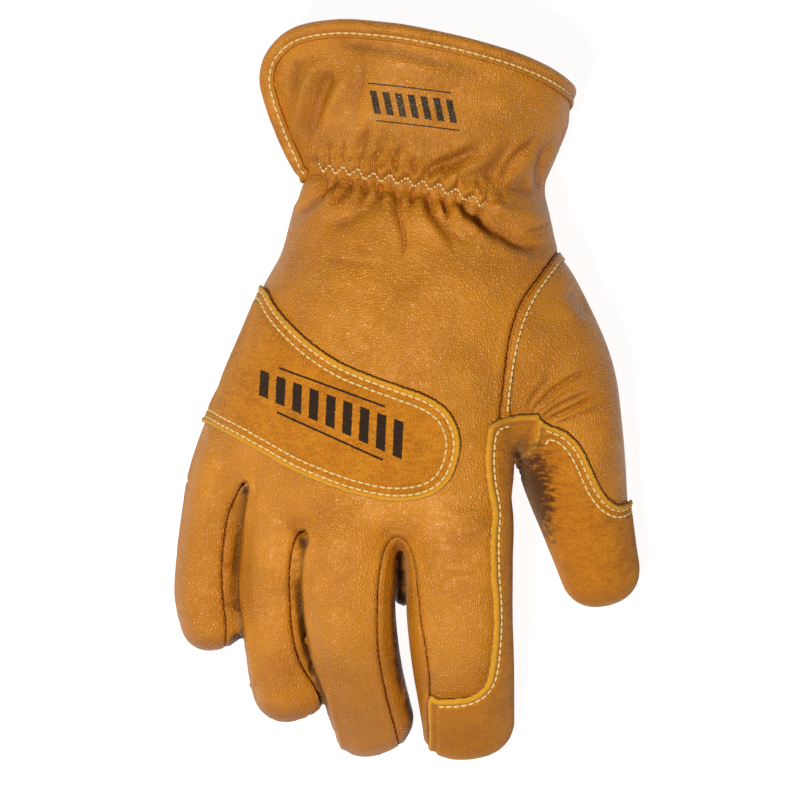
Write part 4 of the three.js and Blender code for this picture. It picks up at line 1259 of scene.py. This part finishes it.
def makeSuede(name, mark=None, shades=()):
    material, tree, shader, coords = startMaterial(name)
    look = suedeLook
    shader.inputs["Specular IOR Level"].default_value = look["shine"]
    shader.inputs["Sheen Weight"].default_value = look["sheen"]
    shader.inputs["Sheen Roughness"].default_value = look["sheenRough"]
    shader.inputs["Sheen Tint"].default_value = look["sheenTint"]
    fibres = noise(tree, coords, 1.9, 5.0, 0.7)
    brushed = noise(tree, stretched(tree, coords, (0.5, 1.5, 1), 0.6), 0.5, 4.0, 0.6)
    clouds = noise(tree, coords, 0.09, 4.0, 0.6)
    tone = calc(tree, "MULTIPLY_ADD", brushed, 0.5, calc(tree, "MULTIPLY", clouds, 0.5))
    tone = spread(tree, calc(tree, "MULTIPLY_ADD", fibres, 1.3, tone), 0.78, 1.46)
    colour = blendColours(tree, tone, look["deep"], look["light"])
    # Painted shade: surfaces turning towards the fingertips take a darker tone
    facing = spread(tree, normalAxes(tree)[1], *look["tipsFade"])
    colour = blendColours(tree, facing, colour, look["tips"])
    gap = calc(tree, "MULTIPLY_ADD", brushed, 0.8, calc(tree, "SUBTRACT", attribute(tree, "seamGap"), 0.4))
    colour = blendColours(tree, spread(tree, gap, *look["edgeFade"]), colour, look["edge"])
    for shade in shades:
        colour = shadeOver(tree, colour, coords, shade, brushed, look["shade"])
    colour = blendColours(tree, spread(tree, gap, *look["seamFade"]), colour, look["shade"])
    if mark:
        ink = inkMask(tree, coords, mark, look["inkNap"])
        ink = calc(tree, "MULTIPLY", ink, spread(tree, fibres, *look["inkFade"]))
        colour = blendColours(tree, ink, colour, look["ink"])
    rough = spread(tree, fibres, 0.3, 0.7, 0.98, 0.85)
    height = calc(tree, "MULTIPLY_ADD", brushed, 0.6, fibres)
    finishMaterial(tree, shader, colour, rough, height, look["relief"])
    return material


def makeThread():
    material, tree, shader, coords = startMaterial("creamThread")
    shader.inputs["Specular IOR Level"].default_value = 0.3
    inputs = {"Vector": coords, "Scale": 1.4, "Distortion": 0.6}
    twist = addNode(tree, "ShaderNodeTexWave", inputs, bands_direction="DIAGONAL").outputs["Fac"]
    colour = blendColours(tree, twist, (0.72, 0.50, 0.15), (1.0, 0.82, 0.38))
    rough = spread(tree, twist, 0.0, 1.0, 0.7, 0.55)
    finishMaterial(tree, shader, colour, rough, twist, 0.08)
    return material


# Painted shade: centre, sizes, strength, and for some the height of the normal below which they darken
grain = makeGrain("grainLeather")
printedGrain = makeGrain("backLeather", marks["cuff"])
stripGrain = makeGrain("stripLeather", shades=[[(0, -106, 12), (7, 18, 18), 1.0, 0.45],
                                               [(-0.6, -72, 30), (7, 34, 26), 1.0, 0.55],
                                               [(-2, -60, 18), (6, 28, 15), 1.0],
                                               [(-57.5, -82, 9), (6, 13, 12), 1.0, 0.7]])
suede = makeSuede("indexSuede", shades=[[(37, -18, 40), (8, 6, 14), 0.5]])
thumbSuede = makeSuede("thumbSuede", shades=[[(42, -34, 26), (8, 25, 30), 1.0]])
patchSuede = makeSuede("patchSuede", marks["patch"])
threadFinish = makeThread()
finishes = {"patch": patchSuede, "index": suede, "thumb": thumbSuede, "back": printedGrain,
            "indexMiddle": stripGrain, "ringLittle": stripGrain, "middleRing": stripGrain}
for key, piece in pieces.items():
    piece.data.materials.append(finishes.get(key, grain))
for piece in stitches.values():
    piece.data.materials.append(threadFinish)
print("materials made")

camera = bpy.data.cameras.new("camera")
camera.lens = viewpoint["focal"]
camera.sensor_width = 36
cameraObject = addObject("camera", camera)
cameraObject.location = (viewpoint["x"] / 1000, viewpoint["y"] / 1000, viewpoint["height"] / 1000)
bpy.context.scene.camera = cameraObject

# The lights: place, size and power
studio = {
    "floor": (0.2, 0.2, 0.2), "floorGlow": 0.93, "world": 0.05,
    "key": [(-0.2, -0.24, 0.86), 0.16, 8.2], "fill": [(0.15, 0.4, 1.3), 0.8, 1.6],
}


def makeFloor():
    bpy.ops.mesh.primitive_plane_add(size=6, location=(0, 0, -0.0005))
    floor = bpy.context.object
    floor.name = "floor"
    material = bpy.data.materials.new("floorPaint")
    material.use_nodes = True
    shader = material.node_tree.nodes["Principled BSDF"]
    shader.inputs["Base Color"].default_value = (*studio["floor"], 1)
    shader.inputs["Roughness"].default_value = 0.7
    shader.inputs["Emission Color"].default_value = (1, 1, 1, 1)
    shader.inputs["Emission Strength"].default_value = studio["floorGlow"]
    floor.data.materials.append(material)


def areaLight(name, place, size, power):
    light = bpy.data.lights.new(name, "AREA")
    light.size = size
    light.energy = power
    piece = addObject(name, light)
    piece.location = place
    piece.rotation_euler = (-Vector(place)).to_track_quat("-Z", "Y").to_euler()


makeFloor()
areaLight("keyLight", *studio["key"])
areaLight("fillLight", *studio["fill"])
world = bpy.data.worlds.new("studio")
world.use_nodes = True
world.node_tree.nodes["Background"].inputs[0].default_value = (1, 1, 1, 1)
world.node_tree.nodes["Background"].inputs[1].default_value = studio["world"]
bpy.context.scene.world = world
bpy.context.scene.view_settings.view_transform = "Standard"
